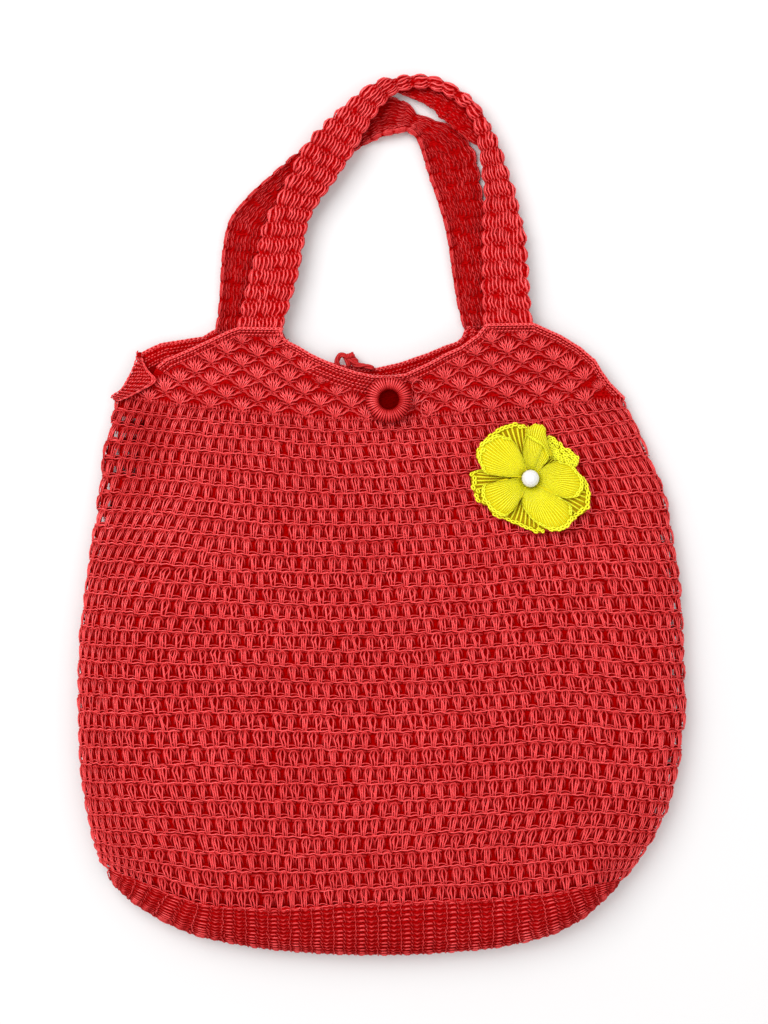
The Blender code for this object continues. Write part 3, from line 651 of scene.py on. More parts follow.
class Plan:
    """A surface given by its height over x and y, with the bag's own millimetres as its rows and columns."""

    STEP = 0.5

    def __init__(self, height, side=1.0, drop=0.0):
        self.height, self.side, self.drop = height, side, drop

    def place(self, across, up, lift):
        z = self.height(across, up)
        slope_x = (self.height(across + self.STEP, up) - z) / self.STEP
        slope_y = (self.height(across, up + self.STEP) - z) / self.STEP
        out = unit(np.stack([-slope_x, -slope_y, np.ones_like(z)], axis=-1)) * self.side
        return np.stack([across, up, z], axis=-1) + out * (lift - self.drop)[..., None]


class Stitch:
    """One stitch: a few closed strands of yarn in a cell that is `cell` millimetres wide and high."""

    SIDES = 4
    END_TAPER = 0.8
    END_PATCH = 0.1

    def __init__(self, cell=(1.0, 1.0)):
        self.cell = np.array([*cell, 1.0])
        self.points, self.quads, self.tones, self.along, self.count = [], [], [], [], 0

    def strand(self, line, width, tone=1.0, rings=4):
        """Adds a strand through these points of the cell.

        Tone is how brightly the strand shows, from 0 to 1, the same all along or one for each point.
        It paints light and shade: low where the strand lies deep in the stitch.
        """
        line = np.array(line, float) * self.cell
        keys = lengths_along(line)
        at = np.linspace(0, keys[-1], rings)
        middle = eased(at, keys, line)
        tones = np.interp(at, keys, np.broadcast_to(tone, len(line)))
        ahead = unit(np.gradient(middle, axis=0))
        side = unit(np.cross(ahead, (0.0, 0.0, 1.0)) + (1e-6, 0.0, 0.0))
        over = np.cross(side, ahead)
        turns = (np.arange(self.SIDES) * 2 * np.pi / self.SIDES)[:, None]
        ring = np.cos(turns) * side[:, None] + np.sin(turns) * over[:, None]
        radius = np.full(rings, width / 2)
        radius[[0, -1]] *= self.END_TAPER
        self.points.append((middle[:, None] + ring * radius[:, None, None]).reshape(-1, 3) / self.cell)
        self.tones.append(np.repeat(tones, self.SIDES))
        quads, along = [], []
        for k in range(rings - 1):
            a, b = k * self.SIDES, (k + 1) * self.SIDES
            for c in range(self.SIDES):
                d = (c + 1) % self.SIDES
                quads.append((a + c, b + c, b + d, a + d))
                along.append([(at[k], c), (at[k + 1], c), (at[k + 1], c + 1), (at[k], c + 1)])
        first = np.arange(self.SIDES)
        quads += [first, first[::-1] + (rings - 1) * self.SIDES]
        for end in (0.0, at[-1]):
            far = end + self.END_PATCH
            along.append([(end, 0), (end, self.END_PATCH), (far, self.END_PATCH), (far, 0)])
        start = sum(len(points) for points in self.points[:-1])
        self.quads.append(np.array(quads) + start)
        self.along.append(np.array(along, float) / (1.0, self.SIDES))
        self.count += 1

    def mirrored(self):
        """The same stitch, its left and right exchanged."""
        other = Stitch(self.cell[:2])
        other.points = [points * (-1.0, 1.0, 1.0) for points in self.points]
        other.quads = [quads[:, ::-1] for quads in self.quads]
        other.along = [along[:, ::-1] for along in self.along]
        other.tones, other.count = self.tones, self.count
        return other


class Yarnwork:
    """Stitches laid on surfaces and gathered into one mesh, each with its own place on the piece's map."""

    TONE_STRAY = 0.06
    CELL_MARGIN, CELL_SHARE = 0.04, 0.92

    def __init__(self, seed=1):
        self.random = np.random.default_rng(seed)
        self.spots, self.quads, self.tones, self.along, self.cells = [], [], [], [], []
        self.points = 0
        self.laid = 0

    def lay(
        self,
        stitch,
        surface,
        across,
        up,
        lean=0.0,
        size=1.0,
        turn=None,
        tone=1.0,
        lift=0.0,
        loose=0.03,
        side=1.0,
    ):
        """Copies of a stitch with its foot at each of these places.

        Lean moves the top sideways, turn rotates it on the surface, loose is how far it may stray, and side
        is -1 where it is laid on the surface's other face.
        """
        across, up = np.atleast_1d(across).astype(float), np.atleast_1d(up).astype(float)
        n = len(across)
        if n == 0:
            return
        values = (np.broadcast_to(value, n).astype(float)[:, None] for value in (lean, size, tone, lift))
        lean, size, tone, lift = values
        local = np.concatenate(stitch.points)
        local_x, local_y, local_z = local.T[:, None]
        x = local_x * size + (lean + self.random.normal(0, loose, (n, 1))) * local_y
        y = local_y * size * (1 + self.random.normal(0, loose, (n, 1)))
        if turn is not None:
            angle = np.broadcast_to(turn, n)[:, None]
            x, y = x * np.cos(angle) - y * np.sin(angle), x * np.sin(angle) + y * np.cos(angle)
        stray = self.random.normal(0, loose, (n, 2)) * stitch.cell[:2].clip(1.0) / stitch.cell[:2]
        z = local_z + lift + self.random.normal(0, loose * 2, (n, 1))
        foot_x, foot_y = (across + stray[:, 0])[:, None], (up + stray[:, 1])[:, None]
        quads, along = np.concatenate(stitch.quads), np.concatenate(stitch.along)
        if side < 0:
            quads, along = quads[:, ::-1], along[:, ::-1]
        strand = np.repeat(np.arange(stitch.count), [len(q) for q in stitch.quads])
        reach = along[..., 0].max() + stitch.END_PATCH
        cell = np.stack([along[..., 0] / reach, (strand[:, None] + along[..., 1]) / stitch.count], axis=-1)
        shift = self.points + np.arange(n)[:, None, None] * len(local)
        stray = 1 + self.random.normal(0, self.TONE_STRAY, (n, 1))
        tones = np.concatenate(stitch.tones)[None] * tone * stray
        self.spots.append(surface.place(x + foot_x, y + foot_y, z * side).reshape(-1, 3))
        self.quads.append((quads[None] + shift).reshape(-1, 4))
        self.tones.append(tones.ravel())
        self.along.append(np.broadcast_to(along[None], (n, *along.shape)).reshape(-1, 2))
        numbers = np.arange(self.laid, self.laid + n)
        self.cells.append((np.broadcast_to(cell[None], (n, *cell.shape)), numbers))
        self.points += n * len(local)
        self.laid += n

    def piece(self, name, material, slot):
        """The finished object, riding on the bag."""
        obj = mesh_piece(name, np.concatenate(self.spots), np.concatenate(self.quads), material)
        mesh = obj.data
        tone = mesh.attributes.new("tone", "FLOAT", "POINT")
        tone.data.foreach_set("value", np.concatenate(self.tones).astype(np.float32))
        grid = int(np.ceil(np.sqrt(self.laid)))
        baked = []
        for cell, numbers in self.cells:
            corner = np.stack([numbers % grid, numbers // grid], axis=1)[:, None, None]
            baked.append(((corner + self.CELL_MARGIN + self.CELL_SHARE * cell) / grid).reshape(-1, 2))
        for layer, places in (("OFBake", np.concatenate(baked)), ("strand", np.concatenate(self.along))):
            mesh.uv_layers.new(name=layer).uv.foreach_set("vector", places.astype(np.float32).ravel())
        mesh.uv_layers.active = mesh.uv_layers["OFBake"]
        return obj


def mesh_piece(name, points, quads, material):
    """An object from points in millimetres and quads, at the origin, riding on the bag."""
    mesh = bpy.data.meshes.new(name)
    mesh.vertices.add(len(points))
    mesh.vertices.foreach_set("co", (np.asarray(points) * MM).astype(np.float32).ravel())
    mesh.loops.add(quads.size)
    mesh.loops.foreach_set("vertex_index", quads.astype(np.int32).ravel())
    mesh.polygons.add(len(quads))
    mesh.polygons.foreach_set("loop_start", np.arange(0, quads.size, quads.shape[1], dtype=np.int32))
    mesh.update(calc_edges=True)
    mesh.shade_smooth()
    mesh.materials.append(material)
    obj = bpy.data.objects.new(name, mesh)
    bpy.context.scene.collection.objects.link(obj)
    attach(obj, "root")
    return obj


def inner_layer(name, grid, thickness, material, closed=False, open_at=None):
    """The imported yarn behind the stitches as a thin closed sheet, its outer face on this grid of points."""
    rows, columns = grid.shape[:2]
    wide = columns if closed else columns - 1
    r, c = np.mgrid[0 : rows - 1, 0:wide]
    if open_at is not None:
        keep = ~open_at
        r, c = r[keep], c[keep]
    r, c = r.ravel(), c.ravel()
    d = (c + 1) % columns
    quads = np.stack([r * columns + c, (r + 1) * columns + c, (r + 1) * columns + d, r * columns + d], axis=1)
    obj = mesh_piece(name, grid.reshape(-1, 3), quads, material)
    bpy.ops.object.select_all(action="DESELECT")
    obj.select_set(True)
    bpy.context.view_layer.objects.active = obj
    bpy.ops.object.mode_set(mode="EDIT")
    bpy.ops.mesh.select_all(action="SELECT")
    bpy.ops.mesh.delete_loose()
    bpy.ops.object.mode_set(mode="OBJECT")
    wall = obj.modifiers.new("wall", "SOLIDIFY")
    wall.thickness = thickness * MM
    wall.offset = -1.0
    bpy.ops.object.modifier_apply(modifier=wall.name)
    return obj


class Number:
    """A shader number that takes Python arithmetic."""

    def __init__(self, finish, socket):
        self.finish, self.socket = finish, socket

    def _maths(self, operation, first, second):
        node = self.finish.node("ShaderNodeMath", {"operation": operation}, {0: first, 1: second})
        return Number(self.finish, node.outputs[0])

    def __add__(self, other):
        return self._maths("ADD", self, other)

    __radd__ = __add__

    def __sub__(self, other):
        return self._maths("SUBTRACT", self, other)

    def __rsub__(self, other):
        return self._maths("SUBTRACT", other, self)

    def __mul__(self, other):
        return self._maths("MULTIPLY", self, other)

    __rmul__ = __mul__

    def clamp(self):
        node = self.finish.node("ShaderNodeClamp", {}, {"Value": self})
        return Number(self.finish, node.outputs[0])


class Finish:
    """A material built from nodes."""

    def __init__(self, name, **constants):
        self.material = bpy.data.materials.new(name)
        self.material.use_nodes = True
        self.tree = self.material.node_tree
        self.shader = self.tree.nodes["Principled BSDF"]
        for key, value in constants.items():
            self.shader.inputs[key.replace("_", " ")].default_value = value

    def node(self, kind, settings, inputs):
        node = self.tree.nodes.new(kind)
        for key, value in settings.items():
            setattr(node, key, value)
        for key, value in inputs.items():
            self.feed(node.inputs[key], value)
        return node

    def feed(self, socket, value):
        if isinstance(value, Number):
            value = value.socket
        if isinstance(value, bpy.types.NodeSocket):
            self.tree.links.new(value, socket)
        else:
            socket.default_value = value

    def surface(self, **links):
        for key, value in links.items():
            self.feed(self.shader.inputs[key.replace("_", " ")], value)
        return self.material

    def noise(self, scale, detail=2.0, stretch=None):
        place = self.node("ShaderNodeTexCoord", {}, {}).outputs["Object"]
        if stretch:
            place = self.node("ShaderNodeMapping", {}, {"Vector": place, "Scale": stretch}).outputs[0]
        node = self.node("ShaderNodeTexNoise", {}, {"Vector": place, "Scale": scale, "Detail": detail})
        return Number(self, node.outputs[0])

    def attribute(self, name):
        return Number(self, self.node("ShaderNodeAttribute", {"attribute_name": name}, {}).outputs["Fac"])

    def blend(self, share, first, second):
        node = self.node(
            "ShaderNodeMix", {"data_type": "RGBA"}, {0: share, 6: colour_of(first), 7: colour_of(second)}
        )
        return node.outputs[2]

    def bump(self, height, distance, strength=1.0):
        node = self.node("ShaderNodeBump", {}, {"Height": height, "Distance": distance, "Strength": strength})
        return node.outputs[0]


def colour_of(value):
    return value if isinstance(value, bpy.types.NodeSocket) else (*value[:3], 1.0)


def yarn_finish(name, deep, bright, sheen=0.9):
    """Shiny plied yarn: painted darker and dull deep in the stitch, as shade; its plies twist along the
    strand.
    """
    finish = Finish(name, Specular_IOR_Level=0.0, Coat_Roughness=0.27, Coat_IOR=1.7)
    tone = finish.attribute("tone")
    patches = finish.noise(22.0, 3.0)
    fibres = finish.noise(1400.0, 2.0)
    share = (tone + (patches - 0.5) * 0.28 + (fibres - 0.5) * 0.3).clamp()
    along = finish.node("ShaderNodeUVMap", {"uv_map": "strand"}, {}).outputs[0]
    steps = finish.node("ShaderNodeMapping", {}, {"Vector": along, "Scale": (0.8, 1.0, 1.0)}).outputs[0]
    plies = finish.node(
        "ShaderNodeTexWave",
        {"bands_direction": "DIAGONAL"},
        {"Vector": steps, "Scale": 1.0, "Distortion": 0.6, "Detail": 1.0},
    ).outputs[1]
    return finish.surface(
        Base_Color=finish.blend(share, deep, bright),
        Roughness=fibres * 0.2 + 0.45,
        Coat_Weight=share * share * sheen,
        Normal=finish.bump(plies, 0.00012, 0.6),
    )


def layer_finish(name, deep, bright, share=0.25, contrast=0.7):
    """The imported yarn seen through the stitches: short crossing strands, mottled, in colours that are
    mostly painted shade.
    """
    finish = Finish(name, Specular_IOR_Level=0.0)
    crossing = finish.noise(640.0, 2.0, (1.0, 2.2, 1.0))
    patches = finish.noise(24.0, 2.0)
    mix = ((crossing - 0.5) * contrast + (patches - 0.5) * 0.3 + share).clamp()
    return finish.surface(
        Base_Color=finish.blend(mix, deep, bright),
        Roughness=crossing * 0.3 + 0.45,
        Normal=finish.bump(crossing, 0.0006, 0.8),
    )


FINISHES = {}


def finishes():
    """The materials, made once."""
    if not FINISHES:
        look = colours()
        deep, bright = look.painted_shade_red, look.bright_red
        # The sheets behind the red stitches and the one in the net's gaps mottle between darker reds still:
        # painted shade.
        dark, middle = [0.62 * v for v in deep], (1.72 * deep[0], 0.003, 0.004)
        FINISHES["red"] = yarn_finish("red_yarn", deep, bright)
        FINISHES["red_layer"] = layer_finish("red_inner_yarn_shade", dark, middle, 0.42, 2.2)
        FINISHES["red_gap"] = layer_finish("red_gap_shade", dark, [1.5 * v for v in deep], 0.5, 1.8)
        FINISHES["red_shade"] = layer_finish("red_shaded_yarn", look.shaded_red, deep, 0.1)
        deep, bright = look.painted_shade_yellow, look.bright_yellow
        FINISHES["yellow"] = yarn_finish("yellow_yarn", deep, bright, 0.45)
        # The sheets behind the front petals are mostly the yellow in painted shade.
        FINISHES["yellow_layer"] = layer_finish("yellow_inner_yarn_shade", deep, bright, 0.2)
        FINISHES["yellow_shade"] = layer_finish("yellow_shaded_yarn", look.shaded_yellow, deep, 0.25)
    return FINISHES


def front_shares(count):
    """The front's column edges from -1 to 1, each column as wide as COLUMN_WIDTHS says."""
    u = np.linspace(0, 1, 2001)
    widths = eased((u[:-1] + u[1:]) / 2, *np.array(COLUMN_WIDTHS).T)
    passed = np.concatenate([[0], np.cumsum(1 / widths)])
    return 2 * np.interp(np.linspace(0, passed[-1], count + 1), passed, u) - 1


def back_shares(count):
    """The back's column edges from -1 to 1, even along a section through its middle."""
    u = np.linspace(-1, 1, 4001)
    curl = np.clip((np.abs(u) - 1 + BACK_CURL) / BACK_CURL, 0, 1)
    keys = lengths_along(np.stack([MIDDLE_HALF_WIDTH * u, MIDDLE_SEAM * np.sqrt(1 - curl**2)], axis=1))
    return np.interp(np.linspace(0, keys[-1], count + 1), keys, u)


def stretched(share, row):
    """How far the upper rows' columns lie towards the middle, as the net is pulled open at its left."""
    near = share / STRETCH_SHARE
    return STRETCH * near * np.exp(1 - near) * smoothstep((STRETCH_END - row[:, None]) / STRETCH_FADE)


def body_grid(steps_front, steps_back, rows):
    """The net's surface from its top row down, each row once round from the left fold over the front."""
    row = np.linspace(0, NET_ROWS, rows)
    held = int(round(STRAIGHT_ROW / NET_ROWS * (rows - 1)))
    t = ((row[held:] - STRAIGHT_ROW) / (NET_ROWS - STRAIGHT_ROW))[:, None]
    grids = []
    for u, is_front in ((front_shares(steps_front), True), (back_shares(steps_back)[1:-1], False)):
        share = (u + 1) / 2
        at = share + stretched(share, row) * is_front
        y = np.stack([row_line(k, spots, is_front) for k, spots in zip(row, at)])
        left, right = section(y, 1), section(y, 2)
        x = left + (right - left) * at
        # Below the held row the columns run straight down, but for those at the sides.
        last_x = x[-1] + (x[held] - x[-1]) * smoothstep(np.minimum(share, 1 - share) / STRAIGHT_SHARE)
        last_y = np.interp(last_x, x[-1], y[-1])
        fall = (y[held:] - y[held]) / (y[-1] - y[held])
        x[held:] = x[held] + (last_x - x[held]) * t
        y[held:] = y[held] + (last_y - y[held]) * fall
        z = front_height(x, y) if is_front else back_height(x, y)
        grids.append(np.stack([x, y, z], axis=2))
    return np.concatenate([grids[0], grids[1][:, ::-1]], axis=1)


def lifted(grid, lift, closed=False):
    """The grid moved along its outward directions."""
    cloth = Cloth(grid, 1, 1, closed)
    return grid + cloth.out * (lift - cloth.drawn_in(cloth.out))


def front_net_stitch(cell, random):
    """A post of the net: strands that rise side by side from a broad foot, and the chain to the next post."""
    yarn, fine = yarn_widths()
    yarn *= 0.84
    stitch = Stitch(cell)
    spread, middle = random.normal(1.0, 0.14), random.normal(0, 0.06)
    for foot, top, end in ((-0.15, -0.26, -0.16), (0.0, middle, 0.1), (0.15, 0.24, 0.16)):
        foot = foot + random.normal(0, 0.03)
        top = top * spread + random.normal(0, 0.035)
        rise = random.normal(0, 0.14)
        low = (foot * 0.65 + top * 0.35, 0.3, 0.1 + rise)
        line = [(foot, -0.06, -0.5), low, (top, 0.64, rise), (end, 0.94, -1.0)]
        stitch.strand(line, yarn, [1.0, 1.0, 0.75, 0.2])
    cross = random.choice([-0.16, 0.18])
    curl = random.normal(0, 0.05)
    stitch.strand([(-cross, 0.1, -0.4), (cross, 0.5, -0.2), (0.0, 0.9, -1.1)], fine, [0.8, 0.7, 0.2], 3)
    line = [(0.16, 0.09, -0.4), (0.42, 0.14, -0.7), (0.66, 0.12, -0.6), (0.88, 0.04, -0.4)]
    stitch.strand(line, fine * 0.85, [1.0, 0.55, 0.65, 1.0])
    line = [(-0.12, -0.04, -0.3), (0.34, -0.08, -0.5), (0.66, -0.02, -0.5), (1.0, -0.07, -0.4)]
    stitch.strand(line, fine, [1.0, 0.85, 0.95, 1.0])
    arch = [(-0.36, 0.22, -1.1), (-0.33 + curl, 0.68, -0.7), (0.0, 0.98, -0.4), (0.33 + curl, 0.7, -0.7)]
    stitch.strand([*arch, (0.4, 0.3, -1.1)], fine * 1.25, [0.2, 0.5, 0.6, 0.5, 0.2], 6)
    stitch.strand([(-0.5, 0.84, -1.6), (0.0, 0.88, -1.4), (0.5, 0.84, -1.6)], yarn * 2.5, 0.25, 3)
    return stitch


def back_net_stitch(cell):
    """The same post in fewer strands, for the side that the bag lies on."""
    yarn, fine = yarn_widths()
    stitch = Stitch(cell)
    stitch.strand([(-0.05, 0.0, -0.6), (-0.15, 0.4, -0.3), (-0.18, 0.9, -1.2)], yarn, [0.9, 1, 0.4], 3)
    stitch.strand([(0.07, 0.0, -0.5), (0.14, 0.4, -0.3), (0.13, 0.9, -1.2)], yarn, [0.9, 1, 0.4], 3)
    stitch.strand([(0.0, 0.0, -0.4), (0.5, 0.02, -0.8), (1.04, 0.0, -0.4)], fine * 1.2, 0.9, 3)
    stitch.strand([(-0.5, 0.88, -1.6), (0.0, 0.9, -1.4), (0.5, 0.88, -1.6)], yarn * 1.7, 0.35, 3)
    return stitch


def open_cells(front, total):
    """Which cells of the inner layer are left out: those at the sides where the net's gaps show the floor."""
    r, c = np.mgrid[0 : NET_ROWS * 2, 0 : total * 2]
    column, row = (c + 0.5) / 2, (r + 0.5) / 2
    from_left, from_right = np.minimum(column, total - column), np.abs(column - front)
    from_gap = np.abs((column - np.ceil(row) * ROW_DRIFT + 0.5) % 1.0 - 0.5)
    in_gap = (r % 2 == 1) & ((from_gap < 0.26) | (column > front))
    left_reach = np.where(row < 5, 3.6, 1.6)
    at_left = (from_left > 0.5) & (from_left < left_reach) & (row > 1) & (row < 10)
    at_right = (from_right > 0.3) & (from_right < 1.3) & (row > 8) & (row < 26)
    return in_gap & (at_left | at_right)


def post_lean(share, depth):
    """How far the posts lean at a share of the width, and at a depth from 0 at the top to 1 at the base."""
    left_upper = smoothstep((0.3 - share) / 0.15) * smoothstep((0.6 - depth) / 0.25)
    left_lower = smoothstep((0.42 - share) / 0.2) * smoothstep((depth - 0.62) / 0.2)
    right = smoothstep((share - 0.8) / 0.2)
    return 0.3 * left_upper - 0.1 * left_lower - 0.05 - 0.08 * share - 0.12 * right


def post_tone(share, depth):
    """How brightly the posts show there: less where the net lies in its fold at the upper left, as painted
    shade.
    """
    return 1 - 0.3 * smoothstep((0.16 - share) / 0.08) * smoothstep((0.3 - depth) / 0.2)


class HANDBAG_OT_net_body(bpy.types.Operator):
    """Works the openwork net of the front, the sides and the back"""

    bl_idname = "handbag.net_body"
    bl_label = "Net body"

    CELL = (7.2, 9.2)
    KINDS = 9

    def execute(self, context):
        look = finishes()
        front, back = sizes().front_columns, sizes().back_columns
        total = front + back
        # This sheet stands for the yarn behind the stitches and the bag's shaded inside seen through the
        # gaps; its deep reds are painted shade.
        layer = inner_layer(
            "net_inner_layer",
            lifted(body_grid(front * 2, back * 2, NET_ROWS * 2 + 1), -1.9, True),
            0.5,
            look["red_gap"],
            closed=True,
            open_at=open_cells(front, total),
        )
        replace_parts(layer, "mesh_body")

        cloth = Cloth(body_grid(front * 3, back * 3, NET_ROWS * 4 + 1), total, NET_ROWS, closed=True)
        for name, first, last in (("upper", 0, 10), ("middle", 10, 20), ("lower", 20, 30)):
            work = Yarnwork(seed=10 + first)
            stitches = [front_net_stitch(self.CELL, work.random) for _ in range(self.KINDS)]
            for row in range(first + 1, last + 1):
                across = np.arange(front + 1) + (row * ROW_DRIFT) % 1.0 - 0.5
                share, depth = across / front, row / NET_ROWS
                lean, tone = post_lean(share, depth), post_tone(share, depth)
                kind = work.random.integers(self.KINDS, size=len(across))
                for k, stitch in enumerate(stitches):
                    here = kind == k
                    up = np.full(here.sum(), -float(row))
                    work.lay(stitch, cloth, across[here], up, lean=lean[here], tone=tone[here], loose=0.045)
            work.piece(f"net_front_{name}", look["red"], "red_yarn")
        work = Yarnwork(seed=50)
        stitch = back_net_stitch(self.CELL)
        for row in range(1, NET_ROWS + 1):
            across = front + np.arange(back) + (row * ROW_DRIFT) % 1.0 + 0.5
            work.lay(stitch, cloth, across, np.full(len(across), -float(row)))
        work.piece("net_back", look["red"], "red_yarn")
        return {"FINISHED"}


# The base: the shares of the width that it spans, the x and the reach within which its ribs run straight
# down, how round it is, and how far it turns under the bag.
BASE_SHARES = (0.012, 0.988)
BASE_MIDDLE = -9.0
BASE_STRAIGHT, BASE_FADE = 125.0, 50.0
BASE_ROUNDING = 2.3
BASE_TURN = 9.0


def base_grid(columns, rows):
    """The base's surface over the front, round the bottom edge and back under the bag, in even rows."""
    share = np.linspace(*BASE_SHARES, columns)
    y_net = row_line(NET_ROWS, share, True) + 0.6
    left, right = section(y_net, 1), section(y_net, 2)
    x_top = left + (right - left) * share
    outline = np.array(BASE_OUTLINE)
    keys = lengths_along(outline)
    edge_x = eased(share, keys / keys[-1], outline)[:, 0]
    straight = smoothstep((BASE_STRAIGHT - np.abs(x_top - BASE_MIDDLE)) / BASE_FADE)
    edge_x = edge_x + (x_top - edge_x) * straight
    edge_y = eased(edge_x, outline[:, 0], outline[:, 1])
    high = front_height(x_top, y_net)
    low = section(y_net, 4) - 1.2
    curl = np.minimum(1.0, BASE_TURN / np.hypot(edge_x - x_top, edge_y - y_net))
    over = [(down, False) for down in np.linspace(0, 1, 60) ** 0.6]
    under = [(down, True) for down in np.linspace(1, 0, 60) ** 0.8]
    lines = []
    for down, is_under in over + under:
        if is_under:
            z = low * (1 - np.sqrt(1 - np.clip((down - 1 + curl) / curl, 0, 1) ** 2))
        else:
            z = low + (high - low) * np.sqrt(1 - down**BASE_ROUNDING)
        lines.append(np.stack([x_top + (edge_x - x_top) * down, y_net + (edge_y - y_net) * down, z], axis=1))
    even = []
    for line in np.stack(lines, axis=1):
        keys = lengths_along(line)
        even.append(points_at(np.linspace(0, keys[-1], rows + 1), keys, line))
    return np.stack(even, axis=1)


class HANDBAG_OT_base(bpy.types.Operator):
    """Works the dense ribbed strip of the bottom"""

    bl_idname = "handbag.base"
    bl_label = "Base"

    RIBS, ROWS = 21, 28

    def execute(self, context):
        look = finishes()
        yarn, fine = yarn_widths()
        ribs, rows = self.RIBS, self.ROWS
        grid = base_grid(6 * ribs + 1, rows)
        cloth = Cloth(grid, ribs, rows)
        layer = inner_layer("base_inner_layer", lifted(grid, -0.5), 1.4, look["red_layer"])
        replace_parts(layer, "base_band")
        stitch = Stitch((sizes().rib_pitch / MM, sizes().rib_row / MM))
        zigzag = [(-0.008, -0.06, -0.1), (0.022, 0.3, 0.2), (-0.014, 0.65, 0.1), (0.0, 1.06, -0.1)]
        stitch.strand(zigzag, fine * 0.8, [0.4, 0.72, 0.72, 0.4])
        stitch.strand([(0.03, 0.25, -0.6), (0.1, 0.45, -0.4), (0.17, 0.2, -0.6)], fine, 0.3, 3)
        arch = [(0.1, 0.1, -0.7), (0.22, 0.45, 0.1), (0.34, 0.5, 0.1), (0.46, 0.15, -0.7)]
        stitch.strand(arch, yarn, [0.1, 0.8, 0.8, 0.1])
        stitch.strand([(0.44, 0.85, -0.5), (0.5, 0.45, -0.2), (0.54, 0.02, -0.5)], fine, 0.45, 3)
        sag = [(0.54, 0.4, -0.7), (0.7, 0.15, -0.1), (0.88, 0.45, -0.7)]
        stitch.strand(sag, yarn * 0.95, [0.1, 0.65, 0.1], 3)
        stitch.strand([(0.86, 0.1, -0.6), (0.93, 0.4, -0.4), (0.99, 0.15, -0.6)], fine, 0.3, 3)
        work = Yarnwork(seed=3)
        for row in range(1, rows + 1):
            up = np.full(ribs, -float(row)) + work.random.normal(0, 0.06, ribs)
            bright = 0.9 + work.random.normal(0, 0.12, ribs)
            work.lay(stitch, cloth, np.arange(ribs), up, loose=0.02, tone=bright, lift=0.35)
        stitches = work.piece("base_stitches", look["red"], "red_yarn")
        return {"FINISHED"}


# The yokes: the height at which their sides are read from the outline, the pitch of a rim's chain, and the
# part of the rim beside the button that has more rows of single crochet.
YOKE_LEVEL = 62.0
CHAIN_PITCH = 2.6
BESIDE_BUTTON = (-42.0, 16.0)

# The shells: where the first one stands, how far from a rim's left end they begin, how high one is, the least
# room that one needs, and how small one may be.
SHELL_START = -134.1
SHELL_INSET = 9.5
SHELL_HEIGHT = 8.4
SHELL_ROOM = 3.6
SMALLEST_SHELL = 0.55


def net_top(x, front=True):
    """y of the net's upper edge at this x."""
    level = np.full(np.shape(x), YOKE_LEVEL)
    left, right = section(level, 1), section(level, 2)
    return row_line(0, np.clip((x - left) / (right - left), 0, 1), front)


def beside_button(x, there, elsewhere):
    """One value for the rim beside the button and another for the rest."""
    return np.where((x > BESIDE_BUTTON[0]) & (x < BESIDE_BUTTON[1]), there, elsewhere)


def yoke_points(rim, columns, rows, height, front):
    """A yoke between its rim and the net's upper row."""
    x = np.linspace(rim[0][0], rim[-1][0], columns)
    v = np.linspace(0, 1, rows)[:, None]
    y = rim_height(rim, x) * (1 - v) + (net_top(x, front) - 0.8) * v
    x = x + 0 * v
    return np.stack([x, y, height(x, y)], axis=2)


def shell_stitch():
    """A shell: wavy strands that rise from one foot and open like a tulip, with darker ones around them."""
    yarn, fine = yarn_widths()
    stitch = Stitch()
    for k, part in enumerate(np.linspace(-1, 1, 9)):
        reach, height = 5.6 * np.sin(1.2 * part), 8.3 - 2.6 * part**2
        wave = 0.36 * (-1) ** k
        line = [
            (0.95 * part, -0.6, -0.5),
            (0.42 * reach + wave, 0.36 * height, 0.35),
            (0.82 * reach - wave, 0.72 * height, 0.25),
            (reach + wave, height, -0.6),
        ]
        stitch.strand(line, yarn * 0.74, [0.95, 1.0, 0.85, 0.3])
    arc = ((0.4, -0.5), (2.6, 1.2), (4.6, 1.5), (7.0, 3.4), (9.1, 3.6))
    fills = ((2.6, 0.2, 4.8, 2.6), (3.8, 1.0, 6.6, 3.6), (5.2, 1.8, 7.8, 5.0), (6.8, 2.6, 9.0, 5.6))
    low = ((0.3, -1.3), (2.6, -0.6), (5.4, -0.1))
    for mirror, shine in ((-1, 0.55), (1, 0.9)):
        stitch.strand([(x * mirror, y, -0.1) for x, y in arc], fine, shine, 5)
        for x, y, far_x, far_y in fills:
            middle = ((x + far_x) / 2 * mirror, (y + far_y) / 2 + 0.4, -0.3)
            line = [(x * mirror, y, -0.7), middle, (far_x * mirror, far_y, -0.8)]
            stitch.strand(line, fine, [0.35, 0.6, 0.3], 3)
        stitch.strand([(x * mirror, y, -0.5) for x, y in low], fine, [0.6, 0.65, 0.4], 3)
    return stitch


def dash_stitch():
    """One single crochet seen from its front: a short slanted strand over a darker one."""
    yarn, _ = yarn_widths()
    stitch = Stitch()
    stitch.strand([(-0.85, -0.3, -0.6), (0.0, 0.15, 0.1), (0.85, 0.35, -0.6)], yarn * 0.82, [0.6, 1.0, 0.6])
    stitch.strand([(-0.5, -1.0, -0.9), (0.1, -0.7, -0.6), (0.6, -0.9, -0.9)], yarn * 0.7, 0.35, 3)
    return stitch


def chain_link(width):
    """A link of a rim's chain: two strands that cross over one another."""
    _, fine = yarn_widths()
    stitch = Stitch()
    for mirror in (-1, 1):
        line = [
            (-0.62 * CHAIN_PITCH, -0.5 * width * mirror, -0.2),
            (-0.2 * CHAIN_PITCH, -0.42 * width * mirror, 0.3 + 0.15 * mirror),
            (0.2 * CHAIN_PITCH, 0.42 * width * mirror, 0.3 - 0.15 * mirror),
            (0.62 * CHAIN_PITCH, 0.5 * width * mirror, -0.2),
        ]
        stitch.strand(line, fine * 1.15)
    return stitch


